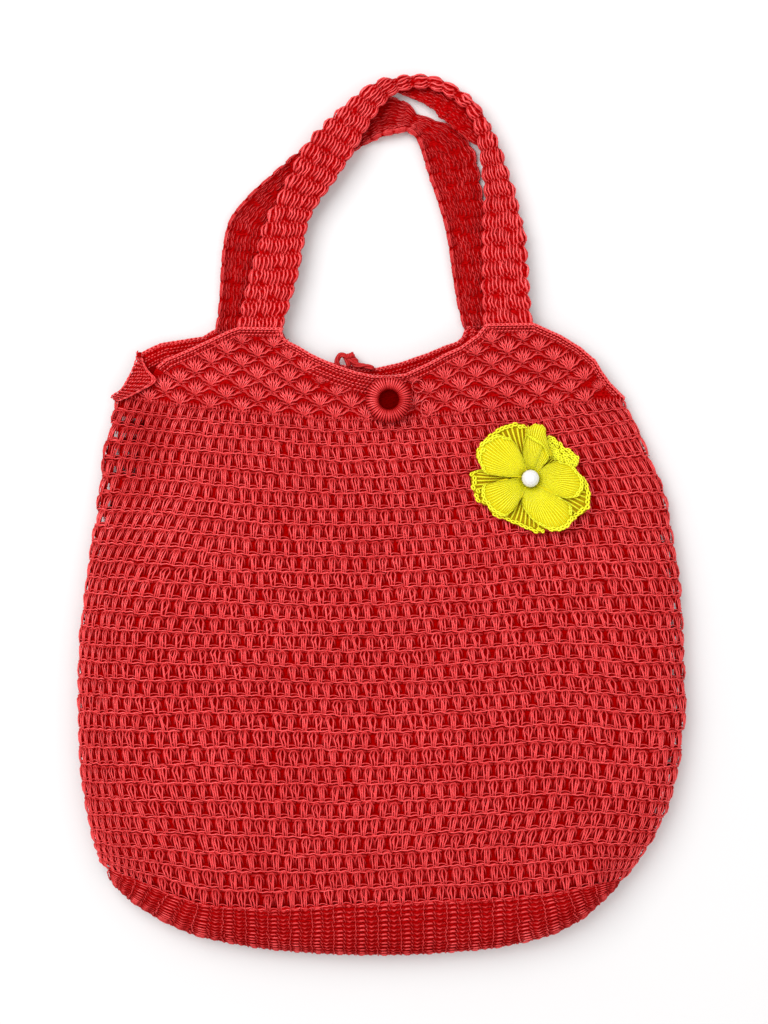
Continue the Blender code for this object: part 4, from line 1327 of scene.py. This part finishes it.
def along_line(line, pitch):
    """Even places along a line of x, y points, with the line's direction at each."""
    line = np.array(line, float)
    keys = lengths_along(line)
    count = max(2, int(round(keys[-1] / pitch)))
    at = (np.arange(count) + 0.5) * keys[-1] / count
    ahead = points_at(at + 0.6, keys, line) - points_at(at - 0.6, keys, line)
    return points_at(at, keys, line), np.arctan2(ahead[:, 1], ahead[:, 0])


def inside_offset(spots, angles, amount):
    """Places moved to the right of their direction of travel."""
    return spots + amount * np.stack([np.sin(angles), -np.cos(angles)], axis=1)


def shells_on(work, surface, rim, band, front=True):
    """Rows of shells that follow the net's upper row, kept clear of the rim's band, which is band(x) wide."""
    pitch, step = sizes().shell_pitch / MM, sizes().shell_row / MM
    stitch = shell_stitch()
    for k in range(9):
        x = np.arange(SHELL_START + (k % 2) * pitch / 2, 140.0, pitch)
        y = net_top(x, front) + 0.4 + k * step
        room = np.minimum(rim_height(rim, x), rim_height(rim, x + 4.0) + 3.0) - y - band(x)
        keep = (room > SHELL_ROOM) & (x > rim[0][0] + SHELL_INSET)
        x, y, room = x[keep], y[keep], room[keep]
        slope = np.arctan2(net_top(x + 4, front) - net_top(x - 4, front), 8.0)
        turn = slope + 0.55 * smoothstep((x - 98.0) / 34.0)
        size = np.clip(room / SHELL_HEIGHT, SMALLEST_SHELL, 1.0)
        work.lay(stitch, surface, x, y, turn=turn, size=size, loose=0.08, tone=0.94)


def hem_rows(work, surface):
    """Short upright strands where a yoke meets the net."""
    _, fine = yarn_widths()
    stitch = Stitch()
    stitch.strand([(-0.3, -2.0, -1.1), (0.2, -0.4, -0.3), (0.0, 1.3, -0.8)], fine, [0.45, 0.75, 0.5], 3)
    x = np.arange(-150.0, 138.0, 1.9)
    work.lay(stitch, surface, x, net_top(x), loose=0.12)


def rim_chain(work, surface, rim, width, inset, **how):
    """The chain along a rim."""
    spots, angles = along_line(rim, CHAIN_PITCH)
    edge = inside_offset(spots, angles, inset)
    work.lay(chain_link(width), surface, edge[:, 0], edge[:, 1], turn=angles, **how)


def rim_rows(work, surface, rim, rows, first, **how):
    """Rows of single crochet below a rim; rows gives their number at each x."""
    pitch, step = 2.1, 1.9
    spots, angles = along_line(rim, pitch)
    stitch = dash_stitch()
    for k in range(9):
        x, y = inside_offset(spots, angles, first + step * k).T
        keep = (rows(x) > k) & (y > net_top(x) + 1.5)
        across = x[keep] + 0.5 * pitch * (k % 2)
        work.lay(stitch, surface, across, y[keep], turn=angles[keep] - 0.2, **how)


class HANDBAG_OT_yokes(bpy.types.Operator):
    """Works the two shell-stitch yokes with the edgings of their rims"""

    bl_idname = "handbag.yokes"
    bl_label = "Yokes"

    BACK_THICKNESS = 2.4

    def execute(self, context):
        look = finishes()
        rim = (*FRONT_RIM, RIM_END)
        outline = (*SHOULDER, *rim)
        grid = yoke_points(outline, 96, 12, front_height, True)
        layer = inner_layer("yoke_front_inner_layer", lifted(grid, -1.0), 1.2, look["red_layer"])
        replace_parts(layer, "yoke_front")
        surface = Plan(front_height)
        work = Yarnwork(seed=5)
        shells_on(work, surface, outline, lambda x: beside_button(x, 9.5, 3.2))
        hem_rows(work, surface)
        rim_chain(work, surface, rim, 1.1, 0.9, lift=0.6, loose=0.02)
        rim_rows(work, surface, rim, lambda x: beside_button(x, 5, 2), 2.6, loose=0.05)
        front = work.piece("yoke_front_stitches", look["red"], "red_yarn")

        inner = Plan(lambda x, y: under_height(x, y) + self.BACK_THICKNESS)
        grid = yoke_points(BACK_RIM, 90, 10, inner.height, False)
        layer = inner_layer("yoke_back_inner_layer", grid, 1.4, look["red_layer"])
        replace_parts(layer, "yoke_back")
        work = Yarnwork(seed=6)
        # The back yoke's rows and chain are painted a little darker, as shade inside the bag's opening.
        rim_rows(work, inner, BACK_RIM, lambda x: 5, 1.8, loose=0.08, tone=0.85)
        shells_on(work, Plan(under_height, side=-1.0, drop=1.0), BACK_RIM, lambda x: 3.6, front=False)
        rim_chain(work, inner, BACK_RIM, 1.2, 0.5, lift=-0.2, tone=0.85)
        back = work.piece("yoke_back_stitches", look["red"], "red_yarn")
        return {"FINISHED"}


class HANDBAG_OT_side_flap(bpy.types.Operator):
    """Works the left end of the top, which lies folded outwards"""

    bl_idname = "handbag.side_flap"
    bl_label = "Side flap"

    COLUMNS, ROWS = 10, 16
    CELL = (1.4, 1.9)

    def execute(self, context):
        look = finishes()
        yarn, fine = yarn_widths()
        table = np.array(FLAP)
        keys = np.linspace(0, 1, len(table))
        at = np.linspace(0, 1, 19)
        left, right = eased(at, keys, table[:, :3]), eased(at, keys, table[:, 3:])
        steps = np.linspace(0, 1, 11)[None, :, None]
        grid = left[:, None] * (1 - steps) + right[:, None] * steps
        grid[:, :, 2] += 1.2 * np.sin(np.pi * steps[:, :, 0])
        cloth = Cloth(grid, self.COLUMNS, self.ROWS)
        layer = inner_layer("flap_inner_layer", lifted(grid, -0.7), 1.3, look["red_layer"])
        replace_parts(layer, "side_flap")
        dash, link = Stitch(self.CELL), Stitch(self.CELL)
        slant = [(-0.4, -0.25, -0.8), (0.0, 0.15, 0.0), (0.4, 0.3, -0.8)]
        dash.strand(slant, yarn * 0.85, [0.6, 1.0, 0.6], 3)
        for mirror in (-1, 1):
            line = [(-0.35 * mirror, -0.8, 0.0), (0.0, 0.0, 0.5 + 0.2 * mirror), (0.35 * mirror, 0.8, 0.0)]
            link.strand(line, fine, 1.0, 3)
        work = Yarnwork(seed=8)
        across, down = np.meshgrid(np.arange(self.COLUMNS) + 0.5, np.arange(self.ROWS) + 0.5)
        across = across + 0.5 * (down.astype(int) % 2) - 0.25
        work.lay(dash, cloth, across.ravel(), -down.ravel(), loose=0.08)
        work.lay(dash, cloth, across.ravel(), -down.ravel(), loose=0.08, lift=1.7, side=-1.0)
        rows = np.arange(0.5, self.ROWS, 1.3)
        for column in (0.1, 9.1, 9.9):
            work.lay(link, cloth, np.full(len(rows), column), -rows, loose=0.03)
        stitches = work.piece("flap_stitches", look["red"], "red_yarn")
        return {"FINISHED"}


def strap_stations(table, pitch):
    """The strap's table at even steps of its middle line, four to a cross band, and the number of bands."""
    rows = np.array(table)
    for end, beside in ((0, 1), (-1, -2)):
        ahead = rows[end, :4] - rows[beside, :4]
        rows[end, :4] += ahead * STRAP_SEAM / np.linalg.norm(ahead[:2])
    at = lengths_along((rows[:, 0:2] + rows[:, 2:4]) / 2)
    bands = int(round(at[-1] / pitch))
    return eased(np.linspace(0, at[-1], 4 * bands + 1), at, rows), bands


def folded_section(share, width, strap):
    """The front strap across its width, as reach and height: flat, then turned under at its outer edge."""
    flat = width - STRAP_WALL / 2 - FOLD_RADIUS
    total = strap - STRAP_WALL / 2
    a = 0.7 + (total - 1.1) * share
    angle = np.clip((a - flat) / FOLD_RADIUS, 0, np.pi)
    rest = np.maximum(0.0, a - flat - np.pi * FOLD_RADIUS)
    up = -FOLD_RADIUS * (1 - np.cos(angle)) + FOLD_RISE * rest
    return np.minimum(a, flat) + FOLD_RADIUS * np.sin(angle) - rest, up


def curled_section(share, width, outer_curl, inner_curl):
    """The back strap across its width: flat on the surface below, its edges curled up."""
    inner, outer = CURL_RADIUS * np.sin(inner_curl), CURL_RADIUS * np.sin(outer_curl)
    flat = width - inner - outer
    a = share * (CURL_RADIUS * (inner_curl + outer_curl) + flat)
    first = np.clip(inner_curl - a / CURL_RADIUS, 0, None)
    last = np.clip((a - CURL_RADIUS * inner_curl - flat) / CURL_RADIUS, 0, None)
    along = np.clip(a - CURL_RADIUS * inner_curl, 0, flat)
    reach = inner - CURL_RADIUS * np.sin(first) + along + CURL_RADIUS * np.sin(last)
    return reach, CURL_RADIUS * (2 - np.cos(first) - np.cos(last))


def strap_grid(table, front, columns):
    """The middle surface of a strap, from its left foot over the top to its right foot."""
    stations, bands = strap_stations(table, sizes().strap_band / MM)
    share = np.linspace(0, 1, columns)
    rows = []
    for outer_x, outer_y, inner_x, inner_y, *form in stations:
        span = np.array([outer_x - inner_x, outer_y - inner_y])
        width = np.linalg.norm(span)
        if front:
            level, strap = form
            reach, up = folded_section(share, width, strap)
        else:
            level = STRAP_WALL
            reach, up = curled_section(share, width, *form)
        swell = STRAP_BULGE * -np.cos(2 * np.pi * len(rows) / 4)
        reach = reach + swell * (2 * share - 1) ** 3
        spot = np.array([inner_x, inner_y]) + np.outer(reach / width, span)
        rows.append(np.column_stack([spot, level - STRAP_WALL / 2 + up]))
    rows = np.array(rows)
    band = np.arange(len(rows)) / 4
    bulge = STRAP_BULGE * (0.5 - np.cos(2 * np.pi * band))
    return rows + Cloth(rows, 1, 1).out * bulge[:, None, None], bands


def strap_stitch(cell, random):
    """The right side of a strap: a long wavy strand that hooks over at the band's end, and two short ones."""
    yarn, _ = yarn_widths()
    stitch = Stitch(cell)
    sway = random.normal(0, 0.11, 6)
    wavy = [(-0.12, 1.02, 0.6), (0.06, 0.84, 1.2), (-0.12, 0.6, 1.3), (0.08, 0.36, 1.2)]
    wavy += [(0.34, 0.2, 0.9), (0.12, 0.1, 0.5)]
    wavy = [(x + move, y, z) for (x, y, z), move in zip(wavy, sway)]
    stitch.strand(wavy, yarn * 1.15, [0.4, 0.95, 1.0, 1.0, 0.85, 0.3], 7)
    stitch.strand([(0.52, 0.95, 0.2), (0.44, 0.7, 0.6), (0.56, 0.42, 0.3)], yarn * 0.8, [0.25, 0.45, 0.3], 3)
    stitch.strand([(-0.34, 0.16, 0.4), (-0.02, 0.05, 0.8), (0.3, -0.06, 0.4)], yarn * 0.8, [0.5, 0.8, 0.5], 3)
    return stitch


def strap_wrong_stitch(cell):
    """The wrong side of a strap: finer, shorter crossings."""
    yarn, _ = yarn_widths()
    stitch = Stitch(cell)
    stitch.strand([(0.1, 0.98, 0.6), (-0.14, 0.78, 1.1), (0.16, 0.52, 0.8)], yarn * 0.85, [0.4, 0.8, 0.4])
    stitch.strand([(-0.14, 0.5, 0.6), (0.2, 0.28, 1.1), (-0.06, 0.02, 0.6)], yarn * 0.85, [0.35, 0.75, 0.4])
    stitch.strand([(0.36, 0.9, 0.3), (0.54, 0.5, 0.7), (0.4, 0.08, 0.3)], yarn * 0.8, [0.2, 0.45, 0.2], 3)
    return stitch


def edge_bump(cell):
    """The end of a cross band where it turns at the strap's edge."""
    yarn, _ = yarn_widths()
    stitch = Stitch(cell)
    for height, reach, tone in ((0.8, 0.02, 0.65), (0.0, 0.16, 0.5), (-0.7, 0.08, 0.4)):
        hook = [(-0.3, 0.02, height), (reach, 0.2, height), (reach - 0.12, 0.5, height + 0.2)]
        stitch.strand([*hook, (reach, 0.76, height), (-0.3, 0.96, height)], yarn * 0.9, tone, 6)
    return stitch


class HANDBAG_OT_handles(bpy.types.Operator):
    """Works the two strap handles with their cross bands"""

    bl_idname = "handbag.handles"
    bl_label = "Handles"

    KINDS = 6
    CREASE = 18.8

    def execute(self, context):
        look = finishes()
        strands = sizes().strap_strands
        cell = (STITCHED_WIDTH / strands, sizes().strap_band / MM)
        for name, table, front in (("handle_front", FRONT_STRAP, True), ("handle_back", BACK_STRAP, False)):
            grid, bands = strap_grid(table, front, 4 * strands + 1)
            cloth = Cloth(grid, strands, bands, sink=0.0)
            core = (grid + cloth.out * 0.6)[:, ::2]
            layer = inner_layer(f"{name}_inner_layer", core, 1.6, look["red_layer"])
            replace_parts(layer, name)
            work = Yarnwork(seed=20 + front)
            across, down = np.meshgrid(np.arange(strands) + 0.45, np.arange(bands) + 1.0)
            right, wrong = (1.0, -1.0) if front else (-1.0, 1.0)
            across, down = across.ravel(), down.ravel()
            up = -down + 0.1 * np.sin(0.9 * across + 2.3 * down)
            lean = work.random.normal(0, 0.18, across.size)
            kind = work.random.integers(self.KINDS, size=across.size)
            bright = 0.95 + work.random.normal(0, 0.1, across.size)
            for k in range(self.KINDS):
                here = kind == k
                stitch = strap_stitch(cell, work.random)
                how = {"lean": lean[here], "tone": bright[here], "side": right, "loose": 0.06}
                work.lay(stitch, cloth, across[here], up[here], **how)
            # The straps' wrong sides are painted darker, partly for their duller face and partly as shade.
            # The back strap is creased at its top; there and along its inner edge up to there it shows its
            # bright side, painted lighter.
            inner_edge = smoothstep((3.4 - across) / 1.2) * smoothstep((down - 12.0) / 3.0)
            inner_edge = inner_edge * smoothstep(self.CREASE - down)
            crease = smoothstep(1.4 - np.abs(down - self.CREASE - 0.1 * across))
            shown = 0 if front else 0.5 * np.maximum(inner_edge, crease)
            dull = 0.66 + work.random.normal(0, 0.12, across.size) + shown
            work.lay(strap_wrong_stitch(cell), cloth, across, up, side=wrong, loose=0.08, tone=dull)
            bump = edge_bump(cell)
            rows = np.arange(bands) + 1.0
            work.lay(bump, cloth, np.full(bands, float(strands)), -rows, loose=0.03)
            work.lay(bump.mirrored(), cloth, np.zeros(bands), -rows, loose=0.03)
            stitches = work.piece(f"{name}_stitches", look["red"], "red_yarn")
            length = bands * sizes().strap_band
        return {"FINISHED"}


def twisted(stitch, line, radius, plies, turns, tone, rings):
    """Adds to a stitch the plies of a cord that follows this line."""
    line = np.array(line, float)
    keys = lengths_along(line)
    share = np.linspace(0, 1, rings)
    middle = eased(share * keys[-1], keys, line)
    ahead = np.gradient(middle, axis=0)
    side = unit(np.cross(ahead, (0.0, 0.0, 1.0)))
    over = np.cross(side, unit(ahead))
    for ply in range(plies):
        angle = 2 * np.pi * (share * turns + ply / plies)[:, None]
        path = middle + radius * (np.cos(angle) * side + np.sin(angle) * over)
        stitch.strand(path, radius * 2.3, tone, rings)


class Level:
    """A level place at one height, where stitches lie as they were made."""

    def __init__(self, height):
        self.height = height

    def place(self, across, up, lift):
        return np.stack([across, up, self.height + lift], axis=-1)


class HANDBAG_OT_button(bpy.types.Operator):
    """Makes the thread-wrapped button, its loop at the back rim and the two loose loops of yarn beside it"""

    bl_idname = "handbag.button"
    bl_label = "Button"

    THREADS = 46
    PAINTED_LIGHT_SIDE = 0.8
    RING_RADIUS, RING_THICK, RING_FLAT, RING_LIFT = 9.1, 3.2, 0.9, 4.0
    DISH_RADIUS, DISH_DEPTH, DISH_LIFT, DISH_BEVEL = 6.6, 2.2, 1.9, 0.5

    def execute(self, context):
        look = finishes()
        around = np.linspace(0, 2 * np.pi, 24)
        edge_x, edge_y = BUTTON_X + BUTTON_REACH * np.cos(around), BUTTON_Y + BUTTON_REACH * np.sin(around)
        base = front_height(edge_x, edge_y).max() - BUTTON_SINK
        bpy.ops.object.select_all(action="DESELECT")
        bpy.ops.mesh.primitive_torus_add(
            location=(BUTTON_X * MM, BUTTON_Y * MM, (base + self.RING_LIFT) * MM),
            major_segments=48,
            minor_segments=14,
            major_radius=self.RING_RADIUS * MM,
            minor_radius=self.RING_THICK * MM,
        )
        ring = context.object
        ring.name = "button_ring"
        ring.scale.z = self.RING_FLAT
        bpy.ops.object.transform_apply(location=True, rotation=True, scale=True)
        bpy.ops.object.shade_smooth()
        ring.data.materials.append(look["red_layer"])
        bpy.ops.object.select_all(action="DESELECT")
        bpy.ops.mesh.primitive_cylinder_add(
            location=(BUTTON_X * MM, BUTTON_Y * MM, (base + self.DISH_LIFT) * MM),
            vertices=32,
            radius=self.DISH_RADIUS * MM,
            depth=self.DISH_DEPTH * MM,
        )
        dish = context.object
        dish.name = "button_dish"
        bpy.ops.object.transform_apply(location=True, rotation=True, scale=True)
        bpy.ops.object.mode_set(mode="EDIT")
        bpy.ops.mesh.select_all(action="SELECT")
        bpy.ops.mesh.bevel(offset=self.DISH_BEVEL * MM, segments=2)
        bpy.ops.object.mode_set(mode="OBJECT")
        bpy.ops.object.shade_smooth_by_angle(angle=0.7)
        dish.data.materials.append(look["red_shade"])
        for piece in (ring, dish):
            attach(piece, "root")
        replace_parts(ring, "button")

        yarn, _ = yarn_widths()
        profile = np.array(BUTTON_PROFILE)
        thread = Stitch()
        thread.strand([(0.0, r, z + 0.25) for r, z, _ in profile], yarn * 0.95, profile[:, 2], 9)
        work = Yarnwork(seed=9)
        turns = np.linspace(0, 2 * np.pi, self.THREADS, endpoint=False)
        # The threads are painted lighter towards the upper left and darker opposite, as light and shade.
        tone = 0.86 + 0.22 * np.cos(turns - self.PAINTED_LIGHT_SIDE) + work.random.normal(0, 0.09, self.THREADS)
        here = np.zeros(self.THREADS)
        work.lay(thread, Level(base), here + BUTTON_X, here + BUTTON_Y, turn=turns, tone=tone, loose=0.005)
        work.piece("button_threads", look["red"], "red_yarn")

        loop = Stitch()
        for cord in LOOP_CORDS:
            twisted(loop, cord, 0.78, 3, 0.9, 0.42, 20)
        work = Yarnwork(seed=12)
        work.lay(loop, Level(0.0), 0.0, 0.0, loose=0.0)
        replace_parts(work.piece("button_loop_yarn", look["red"], "red_yarn"), "button_loop")

        loose = Stitch()
        t = np.linspace(0, 2 * np.pi, 17)
        for x, y, wide, high in LOOSE_YARN:
            flat = np.stack([x + wide * np.cos(t), y + high * np.sin(t)], axis=1)
            line = np.column_stack([flat, front_height(flat[:, 0], flat[:, 1]) + 1.1])
            twisted(loose, line, 0.14, 2, 6, 1.0, 40)
        work = Yarnwork(seed=13)
        work.lay(loose, Level(0.0), 0.0, 0.0, loose=0.0)
        work.piece("loose_yarn_loops", look["red"], "red_yarn")
        return {"FINISHED"}


def evened(line, count):
    """A line of x, y points at even steps, its corners a little rounded."""
    line = np.array(line, float)
    keys = lengths_along(line)
    even = points_at(np.linspace(0, keys[-1], count), keys, line)
    for _ in range(2):
        even[1:-1] = (even[:-2] + 2 * even[1:-1] + even[2:]) / 4
    return even


def petal_foot(border):
    """The petal's foot beside the bead, a point for each of its border's."""
    first, last = (np.arctan2(spot[1], spot[0]) for spot in (border[0], border[-1]))
    span = (last - first + np.pi) % (2 * np.pi) - np.pi
    angle = first + span * np.linspace(-0.12, 1.12, len(border))
    return PETAL_FOOT * np.stack([np.cos(angle), np.sin(angle)], axis=1)


def petal_cloth(foot, border, level, swell, rise, rows):
    """A petal from its border, the first row, to its foot. Its strands bow away from its middle."""
    count = len(border)
    share = np.linspace(-1, 1, count)
    r = np.linspace(1, 0, rows)[:, None]
    side = border[-1] - border[0]
    side = side / max(np.linalg.norm(side), 1.0)
    bow = PETAL_BOW * np.sin(np.pi * r) * share * (1 - np.abs(share) ** 3)
    plan = foot[None] * (1 - r[..., None]) + border[None] * r[..., None] + bow[..., None] * side
    x, y = FLOWER_X + plan[..., 0], FLOWER_Y + plan[..., 1]
    far = np.linalg.norm(plan, axis=2) / 30.0
    crown = swell * np.sin(np.pi * np.minimum(1.0, far * 1.05)) ** 1.2
    z = front_height(x, y) + level + crown + rise * far**3
    grid = np.stack([x, y, z], axis=2)
    if np.cross(grid[-1, 0] - grid[0, 0], grid[0, -1] - grid[0, 0])[2] < 0:
        grid = grid[:, ::-1]
    return grid


def petal_work(work, grid, strands, tone, chains=1):
    """Strands that run from the petal's foot to its border, and the chains along its border."""
    yarn, fine = yarn_widths()
    stitch = Stitch((1.4, 26.0))
    line = [(0.0, 0.01, 0.1), (0.12, 0.3, 0.4), (-0.12, 0.62, 0.45), (0.0, 0.93, 0.3)]
    stitch.strand(line, yarn * 0.74, [1.0, 1.0, 0.9, 0.8], 6)
    cloth = Cloth(grid, strands, 1, sink=0.0)
    work.lay(stitch, cloth, np.arange(strands) + 0.5, np.full(strands, -1.0), loose=0.012, tone=tone)
    length = lengths_along(grid[0])[-1]
    links = int(length / CHAIN_PITCH)
    link = Stitch((length / links, 26.0))
    for mirror in (-1, 1):
        low, high = -0.008 * mirror, 0.028 * mirror
        line = [(-0.6, low, 0.4), (-0.2, high, 0.7), (0.2, high, 0.7), (0.6, low, 0.4)]
        link.strand(line, fine * 1.35)
    rim = Cloth(grid, links, 1, sink=0.0)
    for row in range(chains):
        across = np.arange(links - row) + 0.5 + 0.5 * row
        up = np.full(links - row, -0.03 - 0.085 * row)
        work.lay(link, rim, across, up, loose=0.02, tone=tone, lift=0.3 * (row > 0))


class HANDBAG_OT_flower(bpy.types.Operator):
    """Works the two rings of petals and sets the bead in their middle"""

    bl_idname = "handbag.flower"
    bl_label = "Flower"

    def execute(self, context):
        look = finishes()
        # The back ring is painted darker than the front, as shade under the front petals, but for the curled
        # rim of its last petal; its packed yarn is the shaded yellow.
        rings = (
            # name, petals, level, swell, rise, strands, tone, packed yarn
            ("flower_back", BACK_PETALS, 1.2, 0.3, 2.6, 30, 0.8, "yellow_shade"),
            ("flower_front", FRONT_PETALS, 4.2, 1.4, 1.6, 36, 1.0, "yellow_layer"),
        )
        for name, petals, level, swell, rise, strands, tone, packed in rings:
            work = Yarnwork(seed=len(name))
            grids = []
            for lift, edge in petals:
                border = evened(edge, 31)
                grids.append(petal_cloth(petal_foot(border), border, level + lift, swell, rise, 9))
                curled_rim = name == "flower_back" and edge == BACK_PETALS[-1][1]
                petal_work(work, grids[-1], strands, 0.95 if curled_rim else tone, 5 if curled_rim else 1)
            if name == "flower_front":
                fold, edge = evened(LIP_FOLD, 21), evened(LIP_EDGE, 21)
                grids.append(petal_cloth(fold, edge, level + 3.0, 0.0, 0.0, 7))
                petal_work(work, grids[-1], 20, tone, 2)
            stitches = work.piece(f"{name}_yarn", look["yellow"], "yellow_yarn")
            for number, grid in enumerate(grids):
                part = inner_layer(f"{name}_petal_{number + 1}", grid, 0.7, look[packed])
                if number == 0:
                    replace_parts(part, name)
        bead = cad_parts["bead"]
        finish = Finish("bead_white", Roughness=0.22, Coat_Weight=0.4)
        cloudy = finish.noise(700.0, 3.0)
        white = colours().bead
        mottled = finish.blend(cloudy, [0.8 * v for v in white], white)
        finish.surface(Base_Color=mottled, Normal=finish.bump(cloudy, 0.0002, 0.3))
        bead.data.materials.clear()
        bead.data.materials.append(finish.material)
        return {"FINISHED"}


class HANDBAG_OT_stage(bpy.types.Operator):
    """Lays the pale floor and sets the soft light and the camera over the bag"""

    bl_idname = "handbag.stage"
    bl_label = "Stage"

    FLOOR_Z = -0.0003
    SENSOR = 36.0
    VIEW_HEIGHT, VIEW_LEVEL = 0.5866, 0.015
    CENTRE = (0.00115, 0.00115)
    LIGHTS = (
        # name, place, width, power
        ("key_light", (-0.75, 0.7, 1.5), 1.4, 24.0),
        ("fill_light", (0.8, -0.5, 1.6), 1.6, 7.0),
    )

    def execute(self, context):
        scene = context.scene
        bpy.ops.object.select_all(action="DESELECT")
        bpy.ops.mesh.primitive_plane_add(size=6.0, location=(0.0, 0.0, self.FLOOR_Z))
        floor = context.object
        floor.name = "floor"
        bpy.ops.object.transform_apply(location=True, rotation=True, scale=True)
        finish = Finish("pale_floor", Roughness=0.7)
        grain = finish.noise(6.0, 3.0)
        tint = colours().floor
        finish.surface(Base_Color=finish.blend(grain, [0.985 * v for v in tint], tint))
        floor.data.materials.append(finish.material)

        world = bpy.data.worlds.new("studio")
        world.use_nodes = True
        background = world.node_tree.nodes["Background"]
        background.inputs[0].default_value = (1.0, 0.99, 0.98, 1.0)
        background.inputs[1].default_value = 0.62
        scene.world = world
        for name, place, width, power in self.LIGHTS:
            light = bpy.data.lights.new(name, "AREA")
            light.size = width
            light.energy = power
            lamp = bpy.data.objects.new(name, light)
            lamp.location = place
            lamp.rotation_euler = (-lamp.location).to_track_quat("-Z", "Y").to_euler()
            scene.collection.objects.link(lamp)

        height = sizes().camera_height
        view = bpy.data.cameras.new("camera")
        view.sensor_fit = "VERTICAL"
        view.sensor_height = self.SENSOR
        view.lens = self.SENSOR * (height - self.VIEW_LEVEL) / self.VIEW_HEIGHT
        camera = bpy.data.objects.new("camera", view)
        camera.location = (*self.CENTRE, height)
        scene.collection.objects.link(camera)
        scene.camera = camera
        scene.view_settings.view_transform = "Standard"
        return {"FINISHED"}


class HANDBAG_PT_panel(bpy.types.Panel):
    """The handbag's pieces, sizes and colours"""

    bl_idname = "HANDBAG_PT_panel"
    bl_label = "Handbag"
    bl_space_type = "VIEW_3D"
    bl_region_type = "UI"
    bl_category = "Handbag"

    def draw(self, context):
        for operator in OPERATORS:
            self.layout.operator(operator.bl_idname)
        for group in (context.scene.handbag_sizes, context.scene.handbag_colours):
            box = self.layout.box()
            for name in group.bl_rna.properties.keys():
                if name not in ("rna_type", "name"):
                    box.prop(group, name)


OPERATORS = (
    HANDBAG_OT_net_body,
    HANDBAG_OT_base,
    HANDBAG_OT_yokes,
    HANDBAG_OT_side_flap,
    HANDBAG_OT_handles,
    HANDBAG_OT_button,
    HANDBAG_OT_flower,
    HANDBAG_OT_stage,
)
CLASSES = (YarnSizes, YarnColours, *OPERATORS, HANDBAG_PT_panel)


def register():
    for cls in CLASSES:
        bpy.utils.register_class(cls)
    bpy.types.Scene.handbag_sizes = PointerProperty(type=YarnSizes)
    bpy.types.Scene.handbag_colours = PointerProperty(type=YarnColours)


def unregister():
    del bpy.types.Scene.handbag_colours
    del bpy.types.Scene.handbag_sizes
    for cls in reversed(CLASSES):
        bpy.utils.unregister_class(cls)


def main():
    register()
    bpy.ops.handbag.net_body()
    bpy.ops.handbag.base()
    bpy.ops.handbag.yokes()
    bpy.ops.handbag.side_flap()
    bpy.ops.handbag.handles()
    bpy.ops.handbag.button()
    bpy.ops.handbag.flower()
    bpy.ops.handbag.stage()


if __name__ == "__main__":
    main()
